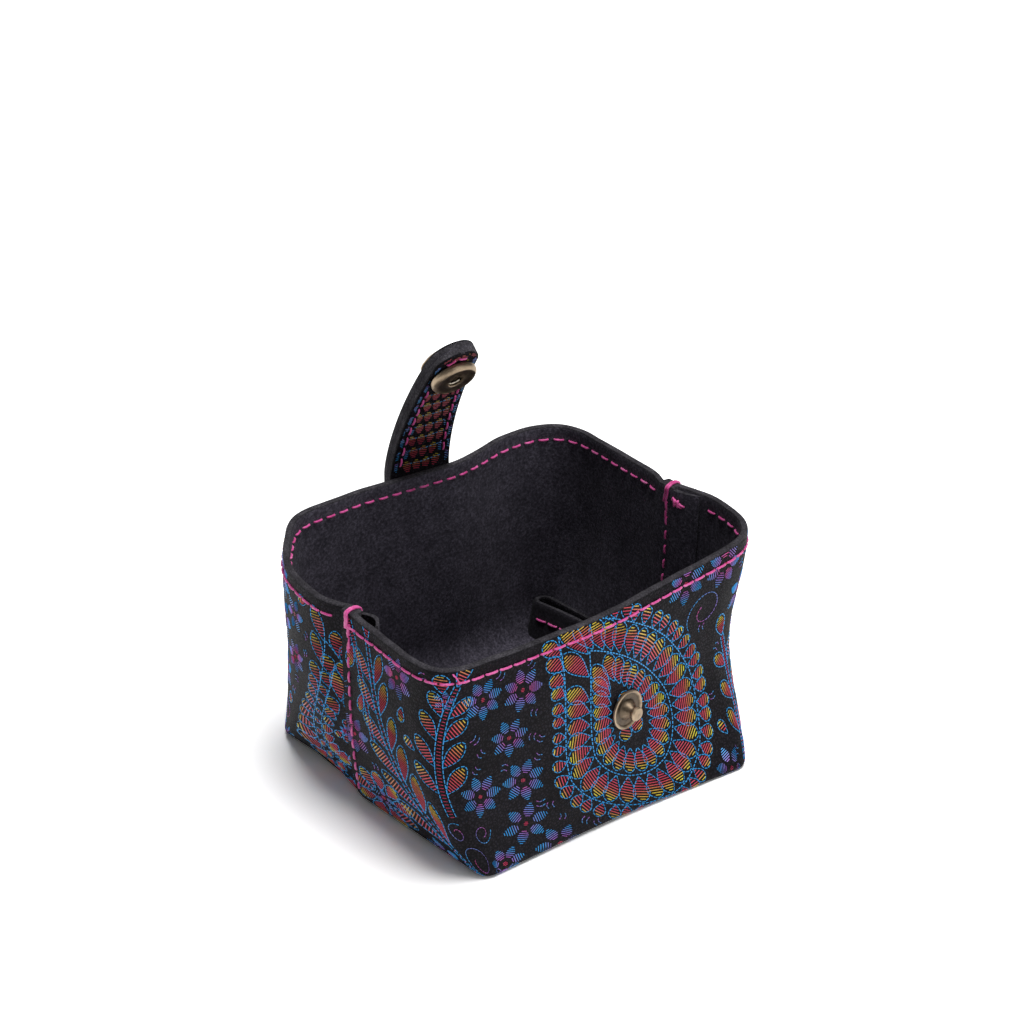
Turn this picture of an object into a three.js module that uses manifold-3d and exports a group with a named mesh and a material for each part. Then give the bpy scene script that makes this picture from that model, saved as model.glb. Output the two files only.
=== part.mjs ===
// A small open leather pouch with a boxed bottom and a snap tab.
// Millimetres, +Z up. The origin is the middle of the base, on the surface it stands on.
// The front wall, with the snap stud, faces -Y. The tab stands up from the back wall.
import * as THREE from 'three';
import { mergeVertices } from 'three/addons/utils/BufferGeometryUtils.js';
import Module from 'manifold-3d';

const wasm = await Module();
wasm.setup();

// Leather, and the play between pieces that touch
const leather = 1.8;
const play = 0.3;

// Pouch: the base, the height of its wall and how far the mouth spreads past the base
const width = 87.6;
const depth = 92;
const height = 64;
const foldRadius = 2;
const sideBow = 3;
const frontHollow = 1.2;
const leftSpread = 14.7;
const rightSpread = 11.5;
const frontSpread = 1.6;
const backSpread = 0.4;
const spreadPower = 3;
const cornerRounding = [4, 14];

// How the soft mouth has slumped: the front right corner leans back, the rear left one sags out and
// forward, the seams pull the sides in, and the back wall dips where the tab is sewn on
const rightFrontTuck = 7.5;
const rearCornerOut = 13;
const rearCornerForward = 20;
const seamTuck = 4.6;
const tabDip = 3.8;

// Side seams: the front half laps outside the back half. Its raw edge lies behind the stitches,
// and the back half goes on inside, in front of them, as a free flap.
const seamFoot = 3.3;
const leftSeamRun = -9.3;
const rightSeamRun = -6.3;
const rawEdge = 2.5;
const caughtWidth = 1.5;
const edgeSlope = 0.4;
const flapWidth = 9;
const flapGape = 2.4;

// Boxed corners: the trimmed seam stands up inside, along the foot of each side wall
const stubHeight = 10.5;
const stubInset = 2.2;
const stubLean = 2.4;
const stubGap = 0.5;
const stubEndGap = 2.2;
const stubEndClear = 1.4;
const stubShort = 5;

// Tab: two layers sewn together, their root sewn to the outside of the back wall
const tabRootWidth = 18.2;
const tabTipWidth = 13.4;
const tabLength = 50;
const tabRoot = 12;
const tabFromDip = 11.4;
const tabLean = 38;
const tabLeanPower = 0.4;

// Snap: radii and heights of the cap with its barrel, the socket, its spring, the stud and the eyelet
const capRadius = 6.7;
const capDome = 1.9;
const barrelRadius = 2.45;
const barrelBore = 2.1;
const sheet = 0.35;
const socketRadius = 6.4;
const socketHeight = 2.4;
const socketMouth = 2.15;
const springWire = 0.3;
const springBore = 1.85;
const socketFromTip = 10.2;
const studRadius = 5.35;
const studHeight = 4.4;
const studRim = 0.95;
const knobRadius = 2;
const neckRadius = 1.6;
const studX = 1.6;
const studZ = 32.7;
const eyeletRadius = 4.7;
const eyeletBarrel = 1.05;
const eyeletBore = 0.7;
const eyeletReach = 0.72;

// Facets
const roundFacets = 5;
const facetLength = 9;
const turnedFacets = 36;

const halfWidth = width / 2;
const halfDepth = depth / 2;

// A corner of the wall, seen from above. It goes from its foot to its place at the rim, its
// rounding grows from foot to rim, and its edge may be pinched towards the middle half way up.
function corner(foot, spread, rounding, pinch = 0) {
  return {
    foot: new THREE.Vector2(...foot),
    spread: new THREE.Vector2(...spread),
    rounding,
    pinch,
  };
}

// Anticlockwise from the left seam. The seams have no rounding: the stitches pull them in.
const corners = {
  leftSeam: corner([-halfWidth - sideBow, seamFoot], [-leftSpread + seamTuck, leftSeamRun], [0, 0]),
  frontLeft: corner([-halfWidth - 1, -halfDepth - 1.5], [-leftSpread, frontSpread], cornerRounding),
  frontBow: corner([0, -halfDepth + frontHollow], [-halfWidth * 0.27, -frontSpread - frontHollow], [16, 16]),
  frontRight: corner(
    [halfWidth - 0.8, -halfDepth - 0.6],
    [rightSpread - 1.2, frontSpread + rightFrontTuck],
    cornerRounding,
    5,
  ),
  rightBow: corner([halfWidth + sideBow * 0.7, -halfDepth * 0.35], [rightSpread - 2, 0], [4, 4]),
  rightSeam: corner([halfWidth + sideBow, seamFoot], [rightSpread - 6, rightSeamRun], [0, 0]),
  backRight: corner([halfWidth - 1, halfDepth], [rightSpread - 2.5, -backSpread - 0.6], cornerRounding),
  backBow: corner([halfWidth * 0.7, halfDepth], [0, backSpread], [6, 6]),
  backDip: corner([halfWidth * 0.32, halfDepth], [0, -tabDip], [4, 4]),
  backSwell: corner([-halfWidth * 0.46, halfDepth], [0, backSpread - 0.6], [8, 8]),
  backLeft: corner([-halfWidth + 3, halfDepth], [0.8, backSpread - 1.4], [1.5, 9], 1),
  leftBack: corner([-halfWidth - 0.1, halfDepth - 3], [-rearCornerOut, -rearCornerForward], [1.5, 10], 1),
  leftBow: corner([-halfWidth + 1.2, halfDepth * 0.48], [-leftSpread - 1.2, -halfDepth * 0.35], [4, 4]),
};

function risen(level) {
  return 1 - (1 - level) ** spreadPower;
}

function cornerAt(spec, level) {
  const place = spec.foot.clone().addScaledVector(spec.spread, risen(level));
  const waist = Math.sin(Math.PI * level) ** 2;
  return place.setLength(place.length() - spec.pinch * waist);
}

// Places in order round the wall. Each seam has four of its own beside it: under and at the raw
// edge, and where the stitches catch the back half and let it free.
function placesAt(level) {
  const at = Object.fromEntries(Object.entries(corners).map(([name, spec]) => [name, cornerAt(spec, level)]));
  const rounded = (name) => ({
    name,
    point: at[name],
    rounding: THREE.MathUtils.lerp(...corners[name].rounding, risen(level)),
  });
  const beside = (name, seam, neighbour, distance) => ({
    name,
    point: at[seam].clone().add(at[neighbour].clone().sub(at[seam]).setLength(distance)),
    rounding: 0,
  });
  return [
    beside('leftUnder', 'leftSeam', 'leftBow', rawEdge + edgeSlope),
    beside('leftEdge', 'leftSeam', 'leftBow', rawEdge),
    rounded('leftSeam'),
    beside('leftCaught', 'leftSeam', 'frontLeft', caughtWidth),
    beside('leftFree', 'leftSeam', 'frontLeft', caughtWidth + edgeSlope),
    rounded('frontLeft'),
    rounded('frontBow'),
    rounded('frontRight'),
    rounded('rightBow'),
    beside('rightFree', 'rightSeam', 'rightBow', caughtWidth + edgeSlope),
    beside('rightCaught', 'rightSeam', 'rightBow', caughtWidth),
    rounded('rightSeam'),
    beside('rightEdge', 'rightSeam', 'backRight', rawEdge),
    beside('rightUnder', 'rightSeam', 'backRight', rawEdge + edgeSlope),
    rounded('backRight'),
    rounded('backBow'),
    rounded('backDip'),
    rounded('backSwell'),
    rounded('backLeft'),
    rounded('leftBack'),
    rounded('leftBow'),
  ];
}

// How many straight facets each stretch between two corners gets, the same at every level
const rimPlaces = placesAt(1);
const stretchFacets = rimPlaces.map((place, i) => {
  const next = rimPlaces[(i + 1) % rimPlaces.length];
  const length = place.point.distanceTo(next.point) - place.rounding - next.rounding;
  return Math.max(1, Math.round(length / facetLength));
});

// The wall's outer outline at a level, anticlockwise, with the name of each corner at its middle point
function outline(level) {
  const places = placesAt(level);
  const points = [];
  const index = {};
  places.forEach((place, i) => {
    const before = places[(i + places.length - 1) % places.length];
    const after = places[(i + 1) % places.length];
    const start = place.point.clone().add(before.point.clone().sub(place.point).setLength(place.rounding));
    const end = place.point.clone().add(after.point.clone().sub(place.point).setLength(place.rounding));
    if (place.rounding > 0) {
      const round = new THREE.QuadraticBezierCurve(start, place.point, end).getPoints(roundFacets);
      index[place.name] = points.length + Math.floor(roundFacets / 2);
      points.push(...round);
    } else {
      index[place.name] = points.length;
      points.push(place.point.clone());
    }
    const towards = after.point.clone().add(place.point.clone().sub(after.point).setLength(after.rounding));
    for (let k = 1; k < stretchFacets[i]; k += 1) {
      points.push(end.clone().lerp(towards, k / stretchFacets[i]));
    }
  });
  return { points, index, z: level * height };
}

function outward(points, i) {
  const before = points[(i + points.length - 1) % points.length];
  const after = points[(i + 1) % points.length];
  const along = after.clone().sub(before).normalize();
  return new THREE.Vector2(along.y, -along.x);
}

// Up the wall: from the flat base, round the bottom fold and up to the rim. Inset is measured in
// from the outline, and tilt turns the face from straight down (-90 degrees) to level.
const baseLip = 1;
const foldFacets = 3;
const wallHeights = [5, 9, 14, 20, 27, 35, 43, 51, 58, height];
const profile = [{ inset: foldRadius + baseLip, z: 0, tilt: -Math.PI / 2 }];
for (let k = 0; k <= foldFacets; k += 1) {
  const tilt = (-Math.PI / 2) * (1 - k / foldFacets);
  profile.push({
    inset: foldRadius * (1 - Math.cos(tilt)),
    z: foldRadius * (1 + Math.sin(tilt)),
    tilt,
  });
}
for (const z of wallHeights) {
  profile.push({ inset: 0, z: (z * height) / wallHeights.at(-1), tilt: 0 });
}

const levels = profile.map(({ z }) => outline(z / height));

// The laps are thinned towards the base, where the boxed seam takes them in.
function lapAt(z) {
  return leather * Math.min(1, z / stubHeight);
}

// How far the wall's two faces lie inside the outline at each place round it
function insetsAt(i, z) {
  const { index } = levels[0];
  const isAt = (...names) => names.some((name) => index[`left${name}`] === i || index[`right${name}`] === i);
  const under = isAt('Under') ? lapAt(z) : 0;
  const doubled = isAt('Under', 'Edge', 'Seam', 'Caught') ? lapAt(z) : 0;
  return [under, leather + doubled];
}

// The base and the wall in one: a cup of leather, folded up at its edge
function cup() {
  const face = (inside) => profile.map(({ inset, z, tilt }, row) => levels[row].points.map((point, i) => {
    const deep = insetsAt(i, z)[inside];
    const inwards = outward(levels[row].points, i).negate();
    const place = point.clone().addScaledVector(inwards, inset + deep * Math.cos(tilt));
    return new THREE.Vector3(place.x, place.y, z - deep * Math.sin(tilt));
  }));
  const centre = new THREE.Vector3(0, 0, 0);
  return sheetBody(face(0), face(1), { ring: true, centre: [centre, centre.clone().setZ(leather)] });
}

// The back half's free flap, inside the wall in front of a seam. It gapes more towards the rim.
function seamFlap(side, towards) {
  const root = caughtWidth / 2;
  const columns = 4;
  const rows = levels.filter((_, row) => profile[row].z > stubHeight / 2 && profile[row].z > foldRadius);
  const face = (deep) => rows.map(({ points, index, z }) => {
    const seam = points[index[`${side}Seam`]];
    const along = points[index[`${side}Free`]].clone().sub(seam).normalize();
    const inwards = new THREE.Vector2(-along.y, along.x).multiplyScalar(towards);
    const gape = play + flapGape * (z / height) ** 2;
    return Array.from({ length: columns + 1 }, (_, k) => {
      const share = k / columns;
      const inset = lapAt(z) + play / 3 + gape * share ** 1.5 + deep;
      const place = seam.clone()
        .addScaledVector(along, THREE.MathUtils.lerp(root, flapWidth, share))
        .addScaledVector(inwards, inset);
      return new THREE.Vector3(place.x, place.y, z - play * (z / height));
    });
  });
  const [outer, inner] = [face(0), face(leather)];
  return towards > 0 ? sheetBody(outer, inner) : sheetBody(inner, outer);
}

// A closed body between two grids of points, rows by columns. A ring's last column meets its first,
// and the first row may be closed to a centre on each face.
function sheetBody(outer, inner, { ring = false, centre = null } = {}) {
  const rows = outer.length;
  const columns = outer[0].length;
  const spans = ring ? columns : columns - 1;
  const positions = [...outer.flat(), ...inner.flat(), ...(centre ?? [])].flatMap((point) => point.toArray());
  const middle = 2 * rows * columns;
  const at = (side, row, column) => (side * rows + row) * columns + (column % columns);
  const faces = [];
  const quad = (a, b, c, d) => faces.push(a, b, c, a, c, d);
  for (let r = 0; r < rows - 1; r += 1) {
    for (let c = 0; c < spans; c += 1) {
      quad(at(0, r, c), at(0, r, c + 1), at(0, r + 1, c + 1), at(0, r + 1, c));
      quad(at(1, r, c), at(1, r + 1, c), at(1, r + 1, c + 1), at(1, r, c + 1));
    }
    if (!ring) {
      quad(at(0, r, 0), at(0, r + 1, 0), at(1, r + 1, 0), at(1, r, 0));
      quad(at(0, r, spans), at(1, r, spans), at(1, r + 1, spans), at(0, r + 1, spans));
    }
  }
  for (let c = 0; c < spans; c += 1) {
    if (centre) {
      faces.push(middle, at(0, 0, c + 1), at(0, 0, c), middle + 1, at(1, 0, c), at(1, 0, c + 1));
    } else {
      quad(at(0, 0, c), at(1, 0, c), at(1, 0, c + 1), at(0, 0, c + 1));
    }
    quad(at(0, rows - 1, c), at(0, rows - 1, c + 1), at(1, rows - 1, c + 1), at(1, rows - 1, c));
  }
  const geometry = new THREE.BufferGeometry();
  geometry.setAttribute('position', new THREE.Float32BufferAttribute(positions, 3));
  geometry.setIndex(faces);
  return geometry;
}

function welded(geometry) {
  geometry.deleteAttribute('normal');
  geometry.deleteAttribute('uv');
  return mergeVertices(geometry, 1e-4);
}

function solid(geometry) {
  return new wasm.Manifold(new wasm.Mesh({
    numProp: 3,
    vertProperties: Float32Array.from(geometry.attributes.position.array),
    triVerts: Uint32Array.from(geometry.index.array),
  }));
}

function geometryOf(body) {
  const mesh = body.getMesh();
  const geometry = new THREE.BufferGeometry();
  geometry.setAttribute('position', new THREE.BufferAttribute(mesh.vertProperties, 3));
  geometry.setIndex(new THREE.BufferAttribute(mesh.triVerts, 1));
  return geometry;
}

// Body panel

// A flattened tube of leather standing on its side along the foot of a side wall. Both ends are
// closed by a fold, and its cut edges face up.
function boxedStub(side) {
  const endGap = stubEndGap / 2;
  const reach = halfDepth - 2 * leather - stubEndClear - endGap;
  const front = side > 0 ? stubShort - reach : -reach;
  const back = side > 0 ? reach : reach - stubShort;
  const steps = 10;
  const endSteps = 6;
  const loop = (wall) => {
    const points = [];
    for (let k = 0; k <= steps; k += 1) {
      points.push([leather - wall, THREE.MathUtils.lerp(front, back, k / steps)]);
    }
    const fold = endGap + wall;
    for (let k = 1; k < endSteps; k += 1) {
      const turn = (Math.PI * k) / endSteps;
      points.push([leather + endGap - fold * Math.cos(turn), back + fold * Math.sin(turn)]);
    }
    for (let k = 0; k <= steps; k += 1) {
      const share = k / steps;
      const gap = THREE.MathUtils.lerp(stubGap, stubEndGap, Math.abs(2 * share - 1) ** 3);
      points.push([leather + gap + wall, THREE.MathUtils.lerp(back, front, share)]);
    }
    for (let k = 1; k < endSteps; k += 1) {
      const turn = (Math.PI * k) / endSteps;
      points.push([leather + endGap + fold * Math.cos(turn), front - fold * Math.sin(turn)]);
    }
    return points;
  };
  const face = (wall) => [0, 1].map((top) => {
    const ring = loop(wall).map(([across, y]) => {
      const bow = sideBow * (1 - (y / halfDepth) ** 2);
      const x = halfWidth + bow - stubInset - across + stubLean * top;
      return new THREE.Vector3(side * x, y, leather / 2 + (leather / 2 + stubHeight) * top);
    });
    return side < 0 ? ring.reverse() : ring;
  });
  return sheetBody(face(leather), face(0), { ring: true });
}

// Where the stud sits: the point on the front wall's outer face, and the way the face looks
function frontWallAt(x, z) {
  const pointAt = (level, across) => {
    const { points, index } = outline(level);
    const run = points.slice(index.frontLeft, index.frontRight + 1);
    const k = run.findIndex((point) => point.x > across);
    const share = (across - run[k - 1].x) / (run[k].x - run[k - 1].x);
    return new THREE.Vector3(across, THREE.MathUtils.lerp(run[k - 1].y, run[k].y, share), level * height);
  };
  const level = z / height;
  const nearby = studRadius;
  const along = pointAt(level, x + nearby).sub(pointAt(level, x - nearby));
  const up = pointAt(level + nearby / height, x).sub(pointAt(level - nearby / height, x));
  return { point: pointAt(level, x), facing: along.cross(up).normalize() };
}

const studSeat = frontWallAt(studX, studZ);

// A body turned from a profile of radius and height, with its axis along +Y until it is placed
function turned(outlinePoints) {
  const points = outlinePoints.map(([radius, rise]) => new THREE.Vector2(radius, rise));
  return welded(new THREE.LatheGeometry(points, turnedFacets));
}

function standingOn({ point, facing }, offset = 0) {
  const turn = new THREE.Quaternion().setFromUnitVectors(new THREE.Vector3(0, 1, 0), facing);
  const place = point.clone().addScaledVector(facing, offset);
  return new THREE.Matrix4().compose(place, turn, new THREE.Vector3(1, 1, 1));
}

function punch(seat, radius) {
  const length = 8 * leather;
  const pin = welded(new THREE.CylinderGeometry(radius, radius, length, turnedFacets));
  return solid(pin.applyMatrix4(standingOn(seat)));
}

const panel = solid(cup())
  .add(solid(seamFlap('left', 1)))
  .add(solid(seamFlap('right', -1)))
  .add(solid(boxedStub(-1)))
  .add(solid(boxedStub(1)))
  .subtract(punch(studSeat, eyeletBarrel + play));

// Tab

const rim = Object.fromEntries(Object.entries(corners).map(([name, spec]) => [name, cornerAt(spec, 1)]));
const tabAcross = rim.backDip.clone().sub(rim.backSwell).normalize();
const tabStart = rim.backDip.clone().addScaledVector(tabAcross, -tabFromDip);
const acrossTab = new THREE.Vector3(tabAcross.x, tabAcross.y, 0);
const behindTab = new THREE.Vector3(-tabAcross.y, tabAcross.x, 0);
const upward = new THREE.Vector3(0, 0, 1);

function tabLeanAt(length) {
  return THREE.MathUtils.degToRad(tabLean) * Math.max(0, length / tabLength) ** tabLeanPower;
}

// The middle line of the tab's front face: straight down the wall, then curling over the mouth
function tabPoint(length) {
  const point = new THREE.Vector3(tabStart.x, tabStart.y, height);
  if (length <= 0) {
    return point.addScaledVector(upward, length).addScaledVector(behindTab, play);
  }
  const steps = Math.ceil(length);
  for (let k = 0; k < steps; k += 1) {
    const lean = tabLeanAt(((k + 0.5) * length) / steps);
    point.addScaledVector(upward, (Math.cos(lean) * length) / steps);
    point.addScaledVector(behindTab, (-Math.sin(lean) * length) / steps);
  }
  return point.addScaledVector(behindTab, play);
}

function tabBehind(length) {
  const lean = tabLeanAt(length);
  return behindTab.clone().multiplyScalar(Math.cos(lean)).addScaledVector(upward, Math.sin(lean));
}

function tabHalfWidth(length) {
  const share = THREE.MathUtils.clamp(length / (tabLength - tabTipWidth / 2), 0, 1);
  return THREE.MathUtils.lerp(tabRootWidth, tabTipWidth, share) / 2;
}

// Along the tab, with the half width there: the root, the free length and the round tip
function tabRows() {
  const tipRadius = tabTipWidth / 2;
  const tipStart = tabLength - tipRadius;
  const rows = [-tabRoot, -tabRoot / 2].map((length) => [length, tabHalfWidth(length)]);
  const freeFacets = 14;
  for (let k = 0; k <= freeFacets; k += 1) {
    const length = (tipStart * k) / freeFacets;
    rows.push([length, tabHalfWidth(length)]);
  }
  const tipFacets = 8;
  const tipEnd = THREE.MathUtils.degToRad(84);
  for (let k = 1; k <= tipFacets; k += 1) {
    const turn = (tipEnd * k) / tipFacets;
    rows.push([tipStart + tipRadius * Math.sin(turn), tipRadius * Math.cos(turn)]);
  }
  return rows;
}

function tabLayer(behind) {
  const columns = 6;
  const face = (offset) => tabRows().map(([length, half]) => Array.from({ length: columns + 1 }, (_, k) => (
    tabPoint(length)
      .addScaledVector(acrossTab, half * ((2 * k) / columns - 1))
      .addScaledVector(tabBehind(length), offset)
  )));
  return sheetBody(face(behind), face(behind + leather));
}

const socketAlong = tabLength - socketFromTip;
const socketSeat = { point: tabPoint(socketAlong), facing: tabBehind(socketAlong).negate() };
const barrelHole = punch(socketSeat, barrelRadius + play);
const tabInner = solid(tabLayer(0)).subtract(barrelHole);
const tabOuter = solid(tabLayer(leather + play)).subtract(barrelHole);

// Snap: heights are measured along the axis, out from the leather that each piece sits on

const tabThickness = 2 * leather + play;
const flareTop = sheet + play + sheet;
const springMiddle = flareTop + play / 2 + springWire;
const lipUnder = springMiddle + springWire + play / 2;

// The cap sits behind the tab. Its hollow barrel comes through both layers and the socket's
// plate, and is flared over the plate.
function capProfile() {
  const back = -tabThickness - 2 * play;
  const flare = barrelRadius + 2 * sheet;
  return [
    [0, back - capDome], [capRadius * 0.5, back - capDome * 0.88], [capRadius * 0.8, back - capDome * 0.6],
    [capRadius, back - sheet], [capRadius, back], [barrelRadius, back],
    [barrelRadius, sheet], [barrelRadius, flareTop - sheet], [flare, flareTop - sheet], [flare, flareTop],
    [barrelBore, flareTop], [barrelBore, back + sheet], [0, back + sheet],
  ];
}

// A rolled outer rim, a dish down to the mouth, and a chamber behind the mouth for the spring
function socketProfile() {
  const roll = socketHeight / 2;
  const crest = socketRadius - roll * 0.7;
  const dish = crest - roll * 0.8;
  const chamber = springBore + 4 * springWire + play;
  const plateHole = barrelRadius + play;
  return [
    [plateHole, 0], [socketRadius - roll * 0.5, 0], [socketRadius - roll * 0.1, roll * 0.35],
    [socketRadius, roll], [socketRadius - roll * 0.15, roll * 1.5], [crest + roll * 0.1, socketHeight * 0.96],
    [crest, socketHeight], [crest - roll * 0.4, socketHeight * 0.95], [dish, lipUnder + sheet],
    [socketMouth + 1.2, lipUnder + sheet * 0.7], [socketMouth + 0.6, lipUnder + sheet * 1.2],
    [socketMouth + 0.2, lipUnder + sheet * 1.4], [socketMouth, lipUnder + sheet], [socketMouth, lipUnder],
    [chamber, lipUnder], [chamber + sheet, lipUnder - sheet], [chamber + sheet, sheet], [plateHole, sheet],
    [plateHole, 0],
  ];
}

// A split ring of round wire that grips the knob's neck
function springRing() {
  const ringRadius = springBore + springWire;
  const split = THREE.MathUtils.degToRad(24);
  const ring = new THREE.EllipseCurve(0, 0, ringRadius, ringRadius, split / 2, 2 * Math.PI - split / 2);
  const places = ring.getPoints(28).map(({ x, y }) => new THREE.Vector3(x, springMiddle, y));
  const path = new THREE.CatmullRomCurve3(places);
  const section = new THREE.Shape().absarc(0, 0, springWire, 0, 2 * Math.PI);
  return welded(new THREE.ExtrudeGeometry(section, { steps: 36, curveSegments: 5, extrudePath: path }));
}

// A dished flange with a raised rim, a cone up to the neck, and the knob. The eyelet's barrel
// goes up the blind hole behind.
function studProfile() {
  const hole = eyeletBarrel + play;
  const cone = neckRadius + 1.1;
  const knobBase = studHeight * 0.7;
  const holeTop = studHeight * eyeletReach;
  return [
    [hole, 0], [studRadius - 0.3, 0], [studRadius, 0.25], [studRadius, studRim * 0.8],
    [studRadius - 0.25, studRim], [studRadius - 0.7, studRim * 0.8], [studRadius - 1, studRim * 0.45],
    [cone + 0.3, studRim * 0.4], [cone, studRim * 0.65], [cone - 0.35, studHeight * 0.34],
    [neckRadius + 0.2, studHeight * 0.52], [neckRadius, knobBase - 0.3], [neckRadius, knobBase - 0.1],
    [knobRadius, knobBase + 0.3], [knobRadius, studHeight * 0.86], [knobRadius * 0.82, studHeight * 0.95],
    [knobRadius * 0.45, studHeight * 0.99], [0, studHeight], [0, holeTop], [hole, holeTop], [hole, 0],
  ];
}

// A tube with a rounded flange, set from inside the pouch through the front wall into the stud
function eyeletProfile() {
  const seat = -leather - 2 * play;
  const reach = studHeight * eyeletReach - play;
  const crown = 0.7;
  return [
    [eyeletBore, seat - crown * 0.6], [eyeletBore + 0.5, seat - crown], [eyeletRadius - 1.2, seat - crown],
    [eyeletRadius - 0.3, seat - crown * 0.6], [eyeletRadius, seat - crown * 0.2], [eyeletRadius, seat],
    [eyeletBarrel, seat], [eyeletBarrel, reach], [eyeletBore, reach], [eyeletBore, seat - crown * 0.6],
  ];
}

function paint(color, roughness, metalness) {
  return new THREE.MeshStandardMaterial({ color, roughness, metalness });
}

const printedLeather = paint(0x211f23, 0.6, 0);
const antiqueBrass = paint(0xa08a60, 0.38, 1);
const springSteel = paint(0xc9c2b0, 0.3, 1);

const pouch = new THREE.Group();

function place(name, geometry, material) {
  const mesh = new THREE.Mesh(geometry, material);
  mesh.name = name;
  pouch.add(mesh);
  return mesh;
}

function placeTurned(name, geometry, material, seat, offset = 0) {
  place(name, geometry, material).applyMatrix4(standingOn(seat, offset));
}

place('body_panel', geometryOf(panel), printedLeather);
place('tab_inner_layer', geometryOf(tabInner), printedLeather);
place('tab_outer_layer', geometryOf(tabOuter), printedLeather);
placeTurned('snap_cap', turned(capProfile()), antiqueBrass, socketSeat, play);
placeTurned('snap_socket', turned(socketProfile()), antiqueBrass, socketSeat, play);
placeTurned('socket_spring', springRing(), springSteel, socketSeat, play);
placeTurned('snap_stud', turned(studProfile()), antiqueBrass, studSeat, play);
placeTurned('stud_eyelet', turned(eyeletProfile()), antiqueBrass, studSeat, play);

export default pouch;
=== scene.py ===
# A small open leather pouch with a boxed bottom and a snap tab, standing on a white studio floor.
# Lengths in this script are millimetres until a mesh is made. The front wall faces -Y, +Z is up.
import math
import random

import bmesh
import bpy
import numpy as np
from mathutils import Matrix, Vector, noise


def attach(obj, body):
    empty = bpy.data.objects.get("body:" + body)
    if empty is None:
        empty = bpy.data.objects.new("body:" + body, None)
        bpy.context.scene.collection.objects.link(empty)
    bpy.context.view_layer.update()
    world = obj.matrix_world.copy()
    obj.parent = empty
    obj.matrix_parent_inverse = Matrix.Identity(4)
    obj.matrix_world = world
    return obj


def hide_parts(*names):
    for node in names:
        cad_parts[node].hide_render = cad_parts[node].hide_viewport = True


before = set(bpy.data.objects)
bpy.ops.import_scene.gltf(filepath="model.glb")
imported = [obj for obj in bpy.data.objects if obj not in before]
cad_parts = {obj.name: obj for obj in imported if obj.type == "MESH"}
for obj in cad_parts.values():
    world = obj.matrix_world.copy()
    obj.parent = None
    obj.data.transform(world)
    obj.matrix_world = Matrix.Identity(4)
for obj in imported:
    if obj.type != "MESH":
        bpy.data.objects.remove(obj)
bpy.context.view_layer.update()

METRES = 0.001
LEATHER = 1.8
# The room between two layers that lie on each other
PLAY = 0.3

# The pouch, as its solids have it
WIDTH, DEPTH, HEIGHT = 87.6, 92.0, 64.0
HALF_WIDTH, HALF_DEPTH = WIDTH / 2, DEPTH / 2
FOLD_RADIUS = 2.0
SIDE_BOW, FRONT_HOLLOW = 3.0, 1.2
LEFT_SPREAD, RIGHT_SPREAD, FRONT_SPREAD, BACK_SPREAD = 14.7, 11.5, 1.6, 0.4
FRONT_TUCK, REAR_OUT, REAR_FORWARD, SEAM_TUCK, TAB_DIP = 7.5, 13.0, 20.0, 4.6, 3.8
SEAM_FOOT, LEFT_SEAM_RUN, RIGHT_SEAM_RUN = 3.3, -9.3, -6.3
RAW_EDGE, CAUGHT_WIDTH, EDGE_SLOPE = 2.5, 1.5, 0.4
FLAP_WIDTH, FLAP_GAPE = 9.0, 2.4
STUB_HEIGHT, STUB_INSET, STUB_LEAN = 10.5, 2.2, 2.4
STUB_GAP, STUB_END_GAP, STUB_END_CLEAR, STUB_SHORT = 0.5, 2.2, 1.4, 5.0
TAB_ROOT_WIDTH, TAB_TIP_WIDTH, TAB_LENGTH, TAB_ROOT = 18.2, 13.4, 50.0, 12.0
TAB_FROM_DIP, TAB_LEAN, TAB_LEAN_POWER = 11.4, math.radians(38), 0.4
BARREL_HOLE, SOCKET_RADIUS, SOCKET_AT = 2.75, 6.4, TAB_LENGTH - 10.2
TAB_THICKNESS = 2 * LEATHER + PLAY
STUD_X, STUD_Z, STUD_HOLE = 1.6, 32.7, 1.35
CORNER_ROUNDING, SEAM_ROUNDING = (4, 14), (0, 0)

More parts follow.
